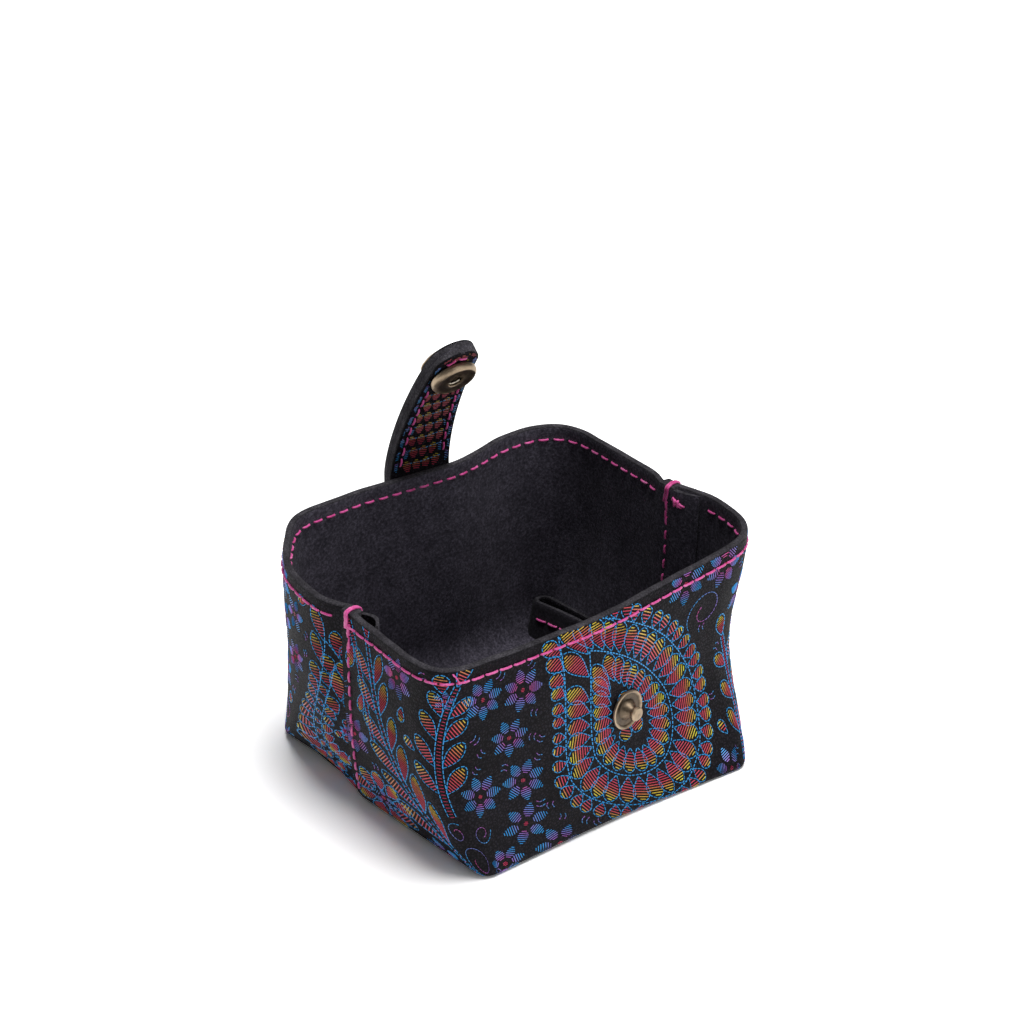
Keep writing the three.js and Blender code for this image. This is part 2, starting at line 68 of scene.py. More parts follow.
# Each corner of the wall: foot, how far it goes out to the rim, rounding at foot and rim, pinch
CORNERS = {
    "left_seam": (
        (-HALF_WIDTH - SIDE_BOW, SEAM_FOOT), (-LEFT_SPREAD + SEAM_TUCK, LEFT_SEAM_RUN), SEAM_ROUNDING, 0,
    ),
    "front_left": ((-HALF_WIDTH - 1, -HALF_DEPTH - 1.5), (-LEFT_SPREAD, FRONT_SPREAD), CORNER_ROUNDING, 0),
    "front_bow": (
        (0, -HALF_DEPTH + FRONT_HOLLOW), (-HALF_WIDTH * 0.27, -FRONT_SPREAD - FRONT_HOLLOW), (16, 16), 0,
    ),
    "front_right": (
        (HALF_WIDTH - 0.8, -HALF_DEPTH - 0.6), (RIGHT_SPREAD - 1.2, FRONT_SPREAD + FRONT_TUCK),
        CORNER_ROUNDING, 5,
    ),
    "right_bow": ((HALF_WIDTH + SIDE_BOW * 0.7, -HALF_DEPTH * 0.35), (RIGHT_SPREAD - 2, 0), (4, 4), 0),
    "right_seam": ((HALF_WIDTH + SIDE_BOW, SEAM_FOOT), (RIGHT_SPREAD - 6, RIGHT_SEAM_RUN), SEAM_ROUNDING, 0),
    "back_right": (
        (HALF_WIDTH - 1, HALF_DEPTH), (RIGHT_SPREAD - 2.5, -BACK_SPREAD - 0.6), CORNER_ROUNDING, 0,
    ),
    "back_bow": ((HALF_WIDTH * 0.7, HALF_DEPTH), (0, BACK_SPREAD), (6, 6), 0),
    "back_dip": ((HALF_WIDTH * 0.32, HALF_DEPTH), (0, -TAB_DIP), (4, 4), 0),
    "back_swell": ((-HALF_WIDTH * 0.46, HALF_DEPTH), (0, BACK_SPREAD - 0.6), (8, 8), 0),
    "back_left": ((-HALF_WIDTH + 3, HALF_DEPTH), (0.8, BACK_SPREAD - 1.4), (1.5, 9), 1),
    "left_back": ((-HALF_WIDTH - 0.1, HALF_DEPTH - 3), (-REAR_OUT, -REAR_FORWARD), (1.5, 10), 1),
    "left_bow": ((-HALF_WIDTH + 1.2, HALF_DEPTH * 0.48), (-LEFT_SPREAD - 1.2, -HALF_DEPTH * 0.35), (4, 4), 0),
}
# The places beside each seam, in order round the wall, with the corner they lie towards
BESIDE = {
    "left_under": ("left_seam", "left_bow", RAW_EDGE + EDGE_SLOPE),
    "left_edge": ("left_seam", "left_bow", RAW_EDGE),
    "left_caught": ("left_seam", "front_left", CAUGHT_WIDTH),
    "left_free": ("left_seam", "front_left", CAUGHT_WIDTH + EDGE_SLOPE),
    "right_free": ("right_seam", "right_bow", CAUGHT_WIDTH + EDGE_SLOPE),
    "right_caught": ("right_seam", "right_bow", CAUGHT_WIDTH),
    "right_edge": ("right_seam", "back_right", RAW_EDGE),
    "right_under": ("right_seam", "back_right", RAW_EDGE + EDGE_SLOPE),
}
ROUND_THE_WALL = (
    "left_under", "left_edge", "left_seam", "left_caught", "left_free", "front_left", "front_bow",
    "front_right", "right_bow", "right_free", "right_caught", "right_seam", "right_edge", "right_under",
    "back_right", "back_bow", "back_dip", "back_swell", "back_left", "left_back", "left_bow",
)
STEP = 1.6
# Past a raw edge, the leather under the lap comes back out to the outline over this length and curve
LAP_EASE, LAP_COLUMNS, LAP_CURVE = 9.0, 12, 1.4
# The leather's slow waves and finer ripples: how tight round the wall, how tall, their shift and depth
WAVES = ((3.1, 26, 0, 0.75), (9, 11, 7, 0.22))
WAVES_FROM, WAVES_RISE = 3, 10


def unit(vector):
    vector = np.asarray(vector, float)
    return vector / np.linalg.norm(vector, axis=-1, keepdims=True)


def towards(start, end, distance):
    return start + unit(end - start) * distance


def lengths_along(points):
    """How far along a line of points each of them is."""
    return np.concatenate([[0], np.cumsum(np.linalg.norm(np.diff(points, axis=0), axis=1))])


def at_lengths(points, lengths, marks):
    """The places at these marks along a line of points."""
    return np.column_stack([np.interp(marks, lengths, axis) for axis in points.T])


def corner_at(name, level):
    foot, spread, _, pinch = CORNERS[name]
    place = np.array(foot) + np.array(spread) * risen(level)
    length = np.hypot(*place)
    return place * (length - pinch * math.sin(math.pi * level) ** 2) / length


def risen(level):
    return 1 - (1 - level) ** 3


def places_at(level):
    """Every place round the wall at a level from 0 to 1, with its rounding."""
    at = {name: corner_at(name, level) for name in CORNERS}
    places = []
    for name in ROUND_THE_WALL:
        if name in BESIDE:
            seam, neighbour, distance = BESIDE[name]
            places.append((name, towards(at[seam], at[neighbour], distance), 0.0))
        else:
            start, end = CORNERS[name][2]
            places.append((name, at[name], start + (end - start) * risen(level)))
    return places


def facet_counts():
    """How many facets each rounding and each straight gets, the same at every level."""
    rim = places_at(1)
    counts = []
    for i, (_, point, rounding) in enumerate(rim):
        _, after, after_rounding = rim[(i + 1) % len(rim)]
        straight = np.linalg.norm(after - point) - rounding - after_rounding
        turn = 2 * max(2, round(rounding / STEP)) if rounding else 0
        counts.append((turn, max(1, round(straight / STEP))))
    return counts


FACETS = facet_counts()


def outline(level):
    """The wall's outer outline seen from above, and which point of it each named place is."""
    places = places_at(level)
    points, index = [], {}
    for i, (name, point, rounding) in enumerate(places):
        before, after = places[i - 1][1], places[(i + 1) % len(places)][1]
        turn, straight = FACETS[i]
        start, end = towards(point, before, rounding), towards(point, after, rounding)
        index[name] = len(points) + turn // 2
        for k in range(turn + 1):
            t = k / turn if turn else 0
            points.append((1 - t) ** 2 * start + 2 * t * (1 - t) * point + t * t * end)
        goal = towards(after, point, places[(i + 1) % len(places)][2])
        points += [end + (goal - end) * k / straight for k in range(1, straight)]
    return np.array(points), index


def outward_of(points):
    along = unit(np.roll(points, -1, 0) - np.roll(points, 1, 0))
    return np.stack([along[:, 1], -along[:, 0]], 1)


def lap_at(z):
    """The laps are thinned towards the base, where the boxed seam takes them in."""
    return LEATHER * min(1, z / STUB_HEIGHT)


PLACE_OF = outline(1)[1]
MIDDLE_LEVEL = 0.55
MIDDLE_OUTLINE = outline(MIDDLE_LEVEL)[0]
RUN = lengths_along(MIDDLE_OUTLINE)
RUN_ROUND = RUN[-1] + np.linalg.norm(MIDDLE_OUTLINE[0] - MIDDLE_OUTLINE[-1])


def run_at(name):
    """How far round the wall a named place is, from the left seam's raw edge."""
    return RUN[PLACE_OF[name]]


def soft_swell(run, z):
    """The slight unevenness of soft leather: it swells and hollows a little between its fastenings."""
    calm = 1.0
    fastenings = ((run_at("front_bow") + STUD_X + 2, 9), (run_at("back_dip") + TAB_FROM_DIP, 14),
                  (run_at("left_seam"), 5), (run_at("right_seam"), 5))
    for centre, reach in fastenings:
        calm *= 1 - math.exp(-(((run - centre) / reach) ** 4))
    turn = 2 * math.pi * run / RUN_ROUND
    x, y = math.cos(turn), math.sin(turn)
    swell = sum(depth * noise.noise(Vector((tight * x, tight * y, z / tall + shift)))
                for tight, tall, shift, depth in WAVES)
    return min(1, max(0, (z - WAVES_FROM) / WAVES_RISE)) * calm * swell


def profile_rows():
    """Up the wall: inset from the outline, height, tilt of the face, and rounding of the cut edge."""
    rows = [(FOLD_RADIUS, 0.0, -math.pi / 2, 0.0)]
    fold = 6
    for k in range(1, fold + 1):
        tilt = -math.pi / 2 * (1 - k / fold)
        rows.append((FOLD_RADIUS * (1 - math.cos(tilt)), FOLD_RADIUS * (1 + math.sin(tilt)), tilt, 0.0))
    edge = 0.5
    steps = 38
    for k in range(1, steps + 1):
        rows.append((0.0, FOLD_RADIUS + (HEIGHT - edge - FOLD_RADIUS) * k / steps, 0.0, 0.0))
    rows.append((0.0, HEIGHT - edge * 0.3, 0.0, edge * 0.3))
    rows.append((0.0, HEIGHT, 0.0, edge))
    return rows


PROFILE = profile_rows()
# Inside, the leather bends up from the base in a wide soft curve
SOFT_BEND = 9.0
# The part of that curve that lies on the base
BASE_SHARE = 0.35


def wall_faces():
    """Outer and inner face of the wall as grids of points, row by row up from the base."""
    count = len(MIDDLE_OUTLINE)
    under = np.zeros(count)
    doubled = np.zeros(count)
    for side, way in (("left", -1), ("right", 1)):
        first = PLACE_OF[f"{side}_under"]
        for k in range(LAP_COLUMNS):
            column = (first + way * k) % count
            away = abs(RUN[column] - RUN[first])
            away = min(away, RUN_ROUND - away)
            under[column] = doubled[column] = max(0, 1 - away / LAP_EASE) ** LAP_CURVE
        for part in ("edge", "seam", "caught"):
            doubled[PLACE_OF[f"{side}_{part}"]] = 1
        low, high = sorted((PLACE_OF[f"{side}_edge"], PLACE_OF[f"{side}_caught"]))
        doubled[low:high + 1] = 1
    faces = ([], [])
    for inset, z, tilt, trim in PROFILE:
        points, _ = outline(z / HEIGHT)
        outward = outward_of(points)
        swell = np.array([soft_swell(run, z) for run in RUN])
        for face, deep in zip(faces, (under * lap_at(z) + trim, LEATHER + doubled * lap_at(z) - trim)):
            place = points - outward * (inset + deep * math.cos(tilt) - swell)[:, None]
            height = np.full(count, z) - deep * math.sin(tilt)
            face.append(np.column_stack([place, height]))
    return np.array(faces[0]), np.array(faces[1])


OUTER_FACE, INNER_FACE = wall_faces()
# How far up the leather each row is: the height above the floor on the wall, and less round the fold
RISE = np.array([z if tilt == 0 else FOLD_RADIUS * (1 + tilt) for _, z, tilt, _ in PROFILE])


def on_grid(grid, across, up, across_marks, up_marks):
    """Points and outward normals on a grid of points, where two coordinates say."""
    across, up = np.asarray(across, float), np.asarray(up, float)
    column = np.clip(np.searchsorted(across_marks, across, "right") - 1, 0, len(across_marks) - 2)
    row = np.clip(np.searchsorted(up_marks, up, "right") - 1, 0, len(up_marks) - 2)
    s = ((across - across_marks[column]) / (across_marks[column + 1] - across_marks[column]))[:, None]
    t = ((up - up_marks[row]) / (up_marks[row + 1] - up_marks[row]))[:, None]
    a, b = grid[row, column], grid[row, column + 1]
    c, d = grid[row + 1, column], grid[row + 1, column + 1]
    point = a * (1 - s) * (1 - t) + b * s * (1 - t) + c * (1 - s) * t + d * s * t
    normal = unit(np.cross((b - a) * (1 - t) + (d - c) * t, (c - a) * (1 - s) + (d - b) * s))
    return point, normal


def closed_round(grid):
    return np.concatenate([grid, grid[:, :1]], 1)


def on_wall(run, rise, inside=False):
    """Points and normals on the wall. The normals look out of the leather, so into the pouch inside."""
    grid = closed_round(INNER_FACE if inside else OUTER_FACE)
    marks = np.append(RUN, RUN_ROUND)
    point, normal = on_grid(grid, np.mod(run, RUN_ROUND), rise, marks, RISE[:-2])
    return point, -normal if inside else normal


# Making meshes

OUTSIDE, INSIDE, CUT_EDGE = 0, 1, 2
PUNCH_FACETS, PUNCH_LENGTH = 48, 14
# Where faces meet at more than this, in degrees, the edge between them is crisp
CRISP = 40


def make_piece(name, points, faces, materials, kinds=None, stands_for=(), crisp=CRISP):
    """A piece of the pouch from points in millimetres. Kinds say which material each face has."""
    mesh = bpy.data.meshes.new(name)
    mesh.from_pydata((np.asarray(points, float) * METRES).tolist(), [], [list(map(int, f)) for f in faces])
    mesh.update()
    for material in materials:
        mesh.materials.append(material)
    if kinds is not None:
        mesh.polygons.foreach_set("material_index", np.asarray(kinds, dtype=np.int32))
    mesh.polygons.foreach_set("use_smooth", np.ones(len(mesh.polygons), dtype=bool))
    mesh.set_sharp_from_angle(angle=math.radians(crisp))
    piece = bpy.data.objects.new(name, mesh)
    bpy.context.collection.objects.link(piece)
    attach(piece, "root")
    if stands_for:
        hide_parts(*stands_for)
    return piece


def sheet_faces(rows, columns, ring=False, capped=False):
    """Faces of a sheet of leather between two grids, with the kind of each."""
    spans = columns if ring else columns - 1
    faces, kinds = [], []

    def at(side, row, column):
        return (side * rows + row) * columns + column % columns

    def quad(kind, *corners):
        faces.append(corners)
        kinds.append(kind)

    for r in range(rows - 1):
        for c in range(spans):
            quad(OUTSIDE, at(0, r, c), at(0, r, c + 1), at(0, r + 1, c + 1), at(0, r + 1, c))
            quad(INSIDE, at(1, r, c), at(1, r + 1, c), at(1, r + 1, c + 1), at(1, r, c + 1))
        if not ring:
            quad(CUT_EDGE, at(0, r, 0), at(0, r + 1, 0), at(1, r + 1, 0), at(1, r, 0))
            quad(CUT_EDGE, at(0, r, spans), at(1, r, spans), at(1, r + 1, spans), at(0, r + 1, spans))
    for c in range(spans):
        if not capped:
            quad(CUT_EDGE, at(0, 0, c), at(1, 0, c), at(1, 0, c + 1), at(0, 0, c + 1))
        quad(CUT_EDGE, at(0, rows - 1, c), at(0, rows - 1, c + 1), at(1, rows - 1, c + 1),
             at(1, rows - 1, c))
    if capped:
        faces.append(tuple(at(0, 0, c) for c in reversed(range(columns))))
        faces.append(tuple(at(1, 0, c) for c in range(columns)))
        kinds += [OUTSIDE, INSIDE]
    return faces, kinds


def punch(piece, point, axis, radius):
    """A round hole through a piece, as a hollow punch makes it."""
    pin_mesh = bpy.data.meshes.new("punch")
    shape = bmesh.new()
    bmesh.ops.create_cone(shape, cap_ends=True, segments=PUNCH_FACETS, radius1=radius * METRES,
                          radius2=radius * METRES, depth=PUNCH_LENGTH * METRES)
    turn = Vector((0, 0, 1)).rotation_difference(Vector(axis)).to_matrix().to_4x4()
    bmesh.ops.transform(shape, matrix=Matrix.Translation(Vector(point) * METRES) @ turn, verts=shape.verts)
    shape.to_mesh(pin_mesh)
    shape.free()
    pin = bpy.data.objects.new("punch", pin_mesh)
    bpy.context.collection.objects.link(pin)
    cut = piece.modifiers.new("punched", "BOOLEAN")
    cut.operation = "DIFFERENCE"
    cut.solver = "EXACT"
    cut.object = pin
    bpy.context.view_layer.update()
    graph = bpy.context.evaluated_depsgraph_get()
    punched = bpy.data.meshes.new_from_object(piece.evaluated_get(graph))
    piece.modifiers.clear()
    old = piece.data
    piece.data = punched
    punched.name = old.name
    bpy.data.meshes.remove(old)
    bpy.data.objects.remove(pin)
    bpy.data.meshes.remove(pin_mesh)
    punched.set_sharp_from_angle(angle=math.radians(CRISP))


# Materials

def colour(code):
    """An sRGB hex value as the linear colour that a socket takes."""
    parts = [int(code[i:i + 2], 16) / 255 for i in (1, 3, 5)]
    return (*[p / 12.92 if p <= 0.04045 else ((p + 0.055) / 1.055) ** 2.4 for p in parts], 1)


def feed(tree, node, inputs):
    """Gives a node's inputs their values, or links them to the sockets that feed them."""
    for name, value in inputs.items():
        if isinstance(value, bpy.types.NodeSocket):
            tree.links.new(value, node.inputs[name])
        else:
            node.inputs[name].default_value = value


def add(tree, kind, inputs=None, stops=(), **settings):
    """Adds a node. Inputs are values or the sockets that feed them, and stops are a ramp's colours."""
    made = tree.nodes.new(kind)
    for name, value in settings.items():
        setattr(made, name, value)
    feed(tree, made, inputs or {})
    if stops:
        elements = made.color_ramp.elements
        while len(elements) < len(stops):
            elements.new(1)
        for element, (position, code) in zip(elements, stops):
            element.position = position
            element.color = colour(code)
    return made


def bare_material(name):
    """A material with no surface yet, and the object's own coordinates, which its patterns follow."""
    material = bpy.data.materials.new(name)
    material.use_nodes = True
    tree = material.node_tree
    tree.nodes.clear()
    return material, tree, add(tree, "ShaderNodeTexCoord").outputs["Object"]


def new_material(name):
    material, tree, place = bare_material(name)
    surface = add(tree, "ShaderNodeBsdfPrincipled")
    add(tree, "ShaderNodeOutputMaterial", {"Surface": surface.outputs["BSDF"]})
    return material, tree, place, surface


def per_metre(millimetres):
    """A texture scale at which one feature is this long."""
    return 1 / (millimetres * METRES)


def finished_leather():
    """Black calf with a fine natural grain and a thin finish: near black, with a soft broken gloss."""
    material, tree, place, surface = new_material("black_finished_leather")
    # The grain of calf is finer than this. It is drawn at 0.9 mm, so that it shows.
    cells = add(tree, "ShaderNodeTexVoronoi", {"Vector": place, "Scale": per_metre(0.9)},
                feature="DISTANCE_TO_EDGE")
    creases = add(tree, "ShaderNodeMapRange", {"Value": cells.outputs["Distance"], "From Max": 0.28})
    fine = add(tree, "ShaderNodeTexNoise", {"Vector": place, "Scale": per_metre(0.35), "Detail": 3.0})
    relief = add(tree, "ShaderNodeMath", {0: fine.outputs["Fac"], 1: 0.5, 2: creases.outputs[0]},
                 operation="MULTIPLY_ADD")
    broad = add(tree, "ShaderNodeTexNoise", {"Vector": place, "Scale": per_metre(14), "Detail": 4.0})
    both = add(tree, "ShaderNodeMix",
               {"Factor": 0.5, "A": broad.outputs["Fac"], "B": relief.outputs[0]}, data_type="FLOAT")
    shade = add(tree, "ShaderNodeValToRGB", {"Fac": both.outputs[0]},
                stops=[(0.35, "#070609"), (0.62, "#100e13"), (0.95, "#232027")])
    gloss = add(tree, "ShaderNodeMapRange",
                {"Value": relief.outputs[0], "From Max": 1.5, "To Min": 0.72, "To Max": 0.56})
    bump = add(tree, "ShaderNodeBump", {"Height": relief.outputs[0], "Strength": 0.6, "Distance": 0.00015})
    feed(tree, surface, {"Base Color": shade.outputs["Color"], "Roughness": gloss.outputs[0],
                         "Normal": bump.outputs["Normal"], "IOR": 1.48, "Specular IOR Level": 0.1})
    return material


def suede(name, shades):
    """The flesh side, buffed to a short nap: matt, slightly lighter, mottled where the nap lies over."""
    material, tree, place, surface = new_material(name)
    # A real nap is about 0.1 mm. It is drawn at 0.75 mm, so that it shows.
    nap = add(tree, "ShaderNodeTexNoise",
              {"Vector": place, "Scale": per_metre(0.75), "Detail": 4.0, "Roughness": 0.75})
    brushed = add(tree, "ShaderNodeTexNoise",
                  {"Vector": place, "Scale": per_metre(7), "Detail": 5.0, "Roughness": 0.6})
    both = add(tree, "ShaderNodeMix",
               {"Factor": 0.22, "A": nap.outputs["Fac"], "B": brushed.outputs["Fac"]}, data_type="FLOAT")
    shade = add(tree, "ShaderNodeValToRGB", {"Fac": both.outputs[0]},
                stops=list(zip((0.38, 0.5, 0.62), shades)))
    bump = add(tree, "ShaderNodeBump", {"Height": nap.outputs["Fac"], "Strength": 0.5, "Distance": 0.00025})
    feed(tree, surface, {"Base Color": shade.outputs["Color"], "Normal": bump.outputs["Normal"],
                         "Roughness": 0.95, "Specular IOR Level": 0.1, "Sheen Weight": 0.05,
                         "Sheen Roughness": 0.5})
    return material


def cut_edge():
    """The leather's cut edge, dyed through and unsealed: dark grey fibres in fine layers."""
    material, tree, place, surface = new_material("raw_cut_edge")
    # Leather's fibres are finer than this. They are drawn at 0.45 mm, so that they show.
    fibres = add(tree, "ShaderNodeTexNoise", {"Vector": place, "Scale": per_metre(0.45), "Detail": 5.0})
    patches = add(tree, "ShaderNodeTexNoise", {"Vector": place, "Scale": per_metre(4), "Detail": 2.0})
    both = add(tree, "ShaderNodeMix",
               {"Factor": 0.4, "A": fibres.outputs["Fac"], "B": patches.outputs["Fac"]}, data_type="FLOAT")
    shade = add(tree, "ShaderNodeValToRGB", {"Fac": both.outputs[0]},
                stops=[(0.36, "#272529"), (0.52, "#3e3c41"), (0.66, "#59565c")])
    bump = add(tree, "ShaderNodeBump", {"Height": fibres.outputs["Fac"], "Strength": 0.6, "Distance": 0.0002})
    feed(tree, surface, {"Base Color": shade.outputs["Color"], "Normal": bump.outputs["Normal"],
                         "Roughness": 0.9, "Specular IOR Level": 0.15})
    return material


def pressed_foil(name, stops, kept=1.0):
    """Coloured foil pressed onto the leather in fine strokes: a slight metal sheen, rubbed thin in places.
    Kept is the share of its colour that is left: below 1 the whole foil is darkened, as painted shade."""
    material, tree, place, surface = new_material(name)
    tone = add(tree, "ShaderNodeAttribute", attribute_name="tone")
    drift = add(tree, "ShaderNodeTexNoise", {"Vector": place, "Scale": per_metre(5), "Detail": 3.0})
    shift = add(tree, "ShaderNodeMapRange", {"Value": drift.outputs["Fac"], "From Min": 0.3, "From Max": 0.7,
                                             "To Min": -0.14, "To Max": 0.14})
    toned = add(tree, "ShaderNodeMath", {0: tone.outputs["Fac"], 1: shift.outputs[0]}, operation="ADD")
    ramp = add(tree, "ShaderNodeValToRGB", {"Fac": toned.outputs[0]}, stops=stops)
    wear = add(tree, "ShaderNodeTexNoise", {"Vector": place, "Scale": per_metre(0.5), "Detail": 4.0})
    wear_and_shade = add(tree, "ShaderNodeMapRange", {"Value": wear.outputs["Fac"], "From Min": 0.34, "From Max": 0.5,
                                            "To Min": 0.7 * kept, "To Max": kept})
    # Sockets 6 and 7 are the two colours that are mixed: near black and the foil's colour. Near black shows
    # through where the foil wears, and all over as painted shade where kept is below 1.
    thinned = add(tree, "ShaderNodeMix", {0: wear_and_shade.outputs[0], 6: colour("#161417"), 7: ramp.outputs["Color"]},
                  data_type="RGBA")
    feed(tree, surface, {"Base Color": thinned.outputs[2], "Metallic": 0.12, "Roughness": 0.42,
                         "Specular IOR Level": 0.4})
    return material


def sewing_thread():
    """Bonded polyester thread, spun from three plies: hot pink with a soft sheen along the twist."""
    material, tree, place, surface = new_material("pink_polyester_thread")
    # A thread's filaments are finer than this. They are drawn at 0.3 mm, so that they show.
    fibres = add(tree, "ShaderNodeTexNoise", {"Vector": place, "Scale": per_metre(0.3), "Detail": 3.0})
    lengths = add(tree, "ShaderNodeTexNoise", {"Vector": place, "Scale": per_metre(3), "Detail": 1.0})
    both = add(tree, "ShaderNodeMix",
               {"Factor": 0.5, "A": fibres.outputs["Fac"], "B": lengths.outputs["Fac"]}, data_type="FLOAT")
    shade = add(tree, "ShaderNodeValToRGB", {"Fac": both.outputs[0]},
                stops=[(0.3, "#c22878"), (0.52, "#ec52a8"), (0.7, "#fd8ecb")])
    bump = add(tree, "ShaderNodeBump", {"Height": fibres.outputs["Fac"], "Strength": 0.3, "Distance": 0.0001})
    feed(tree, surface, {"Base Color": shade.outputs["Color"], "Normal": bump.outputs["Normal"],
                         "Roughness": 0.45, "Sheen Weight": 0.3})
    return material


def antique_brass():
    """Stamped brass, darkened in a bath and rubbed back: brown in the recesses, pale gold on the edges."""
    material, tree, place, surface = new_material("antique_brass")
    raised = add(tree, "ShaderNodeNewGeometry").outputs["Pointiness"]
    stain = add(tree, "ShaderNodeTexNoise",
                {"Vector": place, "Scale": per_metre(1.5), "Detail": 6.0, "Roughness": 0.65})
    mixed = add(tree, "ShaderNodeMath", {0: stain.outputs["Fac"], 1: 0.16, 2: raised},
                operation="MULTIPLY_ADD")
    shade = add(tree, "ShaderNodeValToRGB", {"Fac": mixed.outputs[0]},
                stops=[(0.5, "#433b34"), (0.565, "#6a5d4e"), (0.64, "#ab9880")])
    gloss = add(tree, "ShaderNodeMapRange", {"Value": stain.outputs["Fac"], "From Min": 0.3, "From Max": 0.7,
                                             "To Min": 0.36, "To Max": 0.54})
    bump = add(tree, "ShaderNodeBump", {"Height": stain.outputs["Fac"], "Strength": 0.15, "Distance": 0.0001})
    feed(tree, surface, {"Base Color": shade.outputs["Color"], "Roughness": gloss.outputs[0],
                         "Normal": bump.outputs["Normal"], "Metallic": 1.0})
    return material


def spring_steel():
    """Drawn steel wire, bright with faint lines along it."""
    material, tree, place, surface = new_material("bright_spring_wire")
    lines = add(tree, "ShaderNodeTexNoise", {"Vector": place, "Scale": per_metre(0.3), "Detail": 2.0})
    shade = add(tree, "ShaderNodeValToRGB", {"Fac": lines.outputs["Fac"]},
                stops=[(0.3, "#a9a294"), (0.7, "#d8d0be")])
    feed(tree, surface, {"Base Color": shade.outputs["Color"], "Metallic": 1.0, "Roughness": 0.28})
    return material


LEATHER_FINISH = finished_leather()
SUEDE_FINISH = suede("black_suede", ("#2d2b33", "#44414b", "#625e6b"))
# The suede on the boxed corners is painted darker than the rest: painted shade, for the walls' shade over
# them.
SUEDE_WITH_PAINTED_SHADE = suede("black_suede_painted_shade", ("#19171c", "#27252b", "#37343d"))
EDGE_FINISH = cut_edge()
CRIMSON_TO_GOLD = [(0.0, "#d63c66"), (0.4, "#e04c5c"), (0.58, "#e08a4e"), (0.72, "#e6c444"), (1.0, "#f0ea3e")]
BLUE_TO_VIOLET = [(0.0, "#2eacf8"), (0.3, "#42aef8"), (0.55, "#8a9aee"), (0.78, "#b274d8"), (1.0, "#ec64a8")]
FOILS = (pressed_foil("crimson_to_gold_foil", CRIMSON_TO_GOLD),
         pressed_foil("blue_to_violet_foil", BLUE_TO_VIOLET))
# The tab's foil is painted darker than the walls' foil: painted shade, as the tab faces away from the lamps.
TAB_PAINTED_SHADE = 0.42
TAB_FOILS_PAINTED_SHADE = (pressed_foil("crimson_to_gold_foil_painted_shade", CRIMSON_TO_GOLD, TAB_PAINTED_SHADE),
                pressed_foil("blue_to_violet_foil_painted_shade", BLUE_TO_VIOLET, TAB_PAINTED_SHADE))
THREAD_FINISH = sewing_thread()
BRASS_FINISH = antique_brass()
SPRING_FINISH = spring_steel()
SKIN = (LEATHER_FINISH, SUEDE_FINISH, EDGE_FINISH)


# Leather

def body_panel():
    """The base and the wall in one, folded up at the edge of the base."""
    rows, columns = OUTER_FACE.shape[:2]
    rings = [0.12, 0.3, 0.48, 0.66, 0.8, 0.88, 0.93, 0.97]
    outer = [OUTER_FACE[0] * (share, share, 1) for share in rings]
    inner = [INNER_FACE[0] * (share, share, 1) for share in rings]
    grid_out = np.concatenate([np.array(outer), OUTER_FACE])
    grid_in = softly_bent(np.concatenate([np.array(inner), INNER_FACE]), len(rings))
    faces, kinds = sheet_faces(rows + len(rings), columns, ring=True, capped=True)
    points = np.concatenate([grid_out.reshape(-1, 3), grid_in.reshape(-1, 3)])
    return make_piece("pouch_body", points, faces, SKIN, edged(faces, kinds, columns, len(grid_out)),
                      ["body_panel"])


def softly_bent(grid, corner):
    """The inner face with its corner, from this row, eased into a curve from the base up to the wall."""
    foot = grid[corner]
    across = unit(foot * (1, 1, 0))
    top = next(row for row in range(corner, len(grid)) if grid[row, 0, 2] > foot[0, 2] + SOFT_BEND)
    bent = grid.copy()
    for row in range(top):
        if row < corner:
            away = np.linalg.norm(foot - grid[row], axis=1) / SOFT_BEND
            t = BASE_SHARE * np.clip(1 - away, 0, 1)
            near = away < 1
        else:
            rise = (grid[row, :, 2] - foot[:, 2]) / (grid[top, :, 2] - foot[:, 2])
            t = BASE_SHARE + (1 - BASE_SHARE) * np.clip(rise, 0, 1) ** 0.7
            near = np.full(len(foot), True)
        t = t[:, None]
        curve = (1 - t) ** 2 * (foot - across * SOFT_BEND) + 2 * t * (1 - t) * foot + t * t * grid[top]
        bent[row][near] = curve[near]
    return bent


def edged(faces, kinds, columns, rows):
    """The rounded rim, and the steps at the seams' raw edges, show cut leather."""
    kinds = list(kinds)
    outside = {frozenset((PLACE_OF[f"{side}_under"], PLACE_OF[f"{side}_edge"])) for side in ("left", "right")}
    inside = {frozenset((PLACE_OF[f"{side}_caught"], PLACE_OF[f"{side}_free"])) for side in ("left", "right")}
    for i, face in enumerate(faces):
        if len(face) != 4:
            continue
        columns_of = frozenset(v % columns for v in face)
        lowest_row = min(v // columns % rows for v in face)
        stepped = columns_of in {OUTSIDE: outside, INSIDE: inside}.get(kinds[i], ())
        if stepped or lowest_row >= rows - 3:
            kinds[i] = CUT_EDGE
    return kinds


def sheet_piece(name, outer, inner, ring=False, skin=SKIN, stands_for=("body_panel",)):
    outer, inner = np.array(outer), np.array(inner)
    faces, kinds = sheet_faces(*outer.shape[:2], ring=ring)
    points = np.concatenate([outer.reshape(-1, 3), inner.reshape(-1, 3)])
    return make_piece(name, points, faces, skin, kinds, stands_for)


def flap_row(side, z, deep, shares):
    """Points across a seam's flap, from the seam to its free edge, this deep in its leather."""
    points, index = outline(z / HEIGHT)
    seam = points[index[f"{side}_seam"]]
    along = unit(points[index[f"{side}_free"]] - seam)
    way, gape, skived = (1, FLAP_GAPE, 0.4) if side == "left" else (-1, 0.2, 0.8)
    inwards = np.array([-along[1], along[0]]) * way
    row = []
    for share in shares:
        reach = CAUGHT_WIDTH / 2 + (FLAP_WIDTH - CAUGHT_WIDTH / 2) * share
        off_wall = lap_at(z) + PLAY / 3 + gape * (z / HEIGHT) ** 2 * math.sin(math.pi * share * 0.94)
        off_wall += deep * (1 - skived * share ** 2.5) - soft_swell(run_at(f"{side}_seam") + way * reach, z)
        row.append([*(seam + along * reach + inwards * off_wall), z - PLAY * z / HEIGHT])
    return row


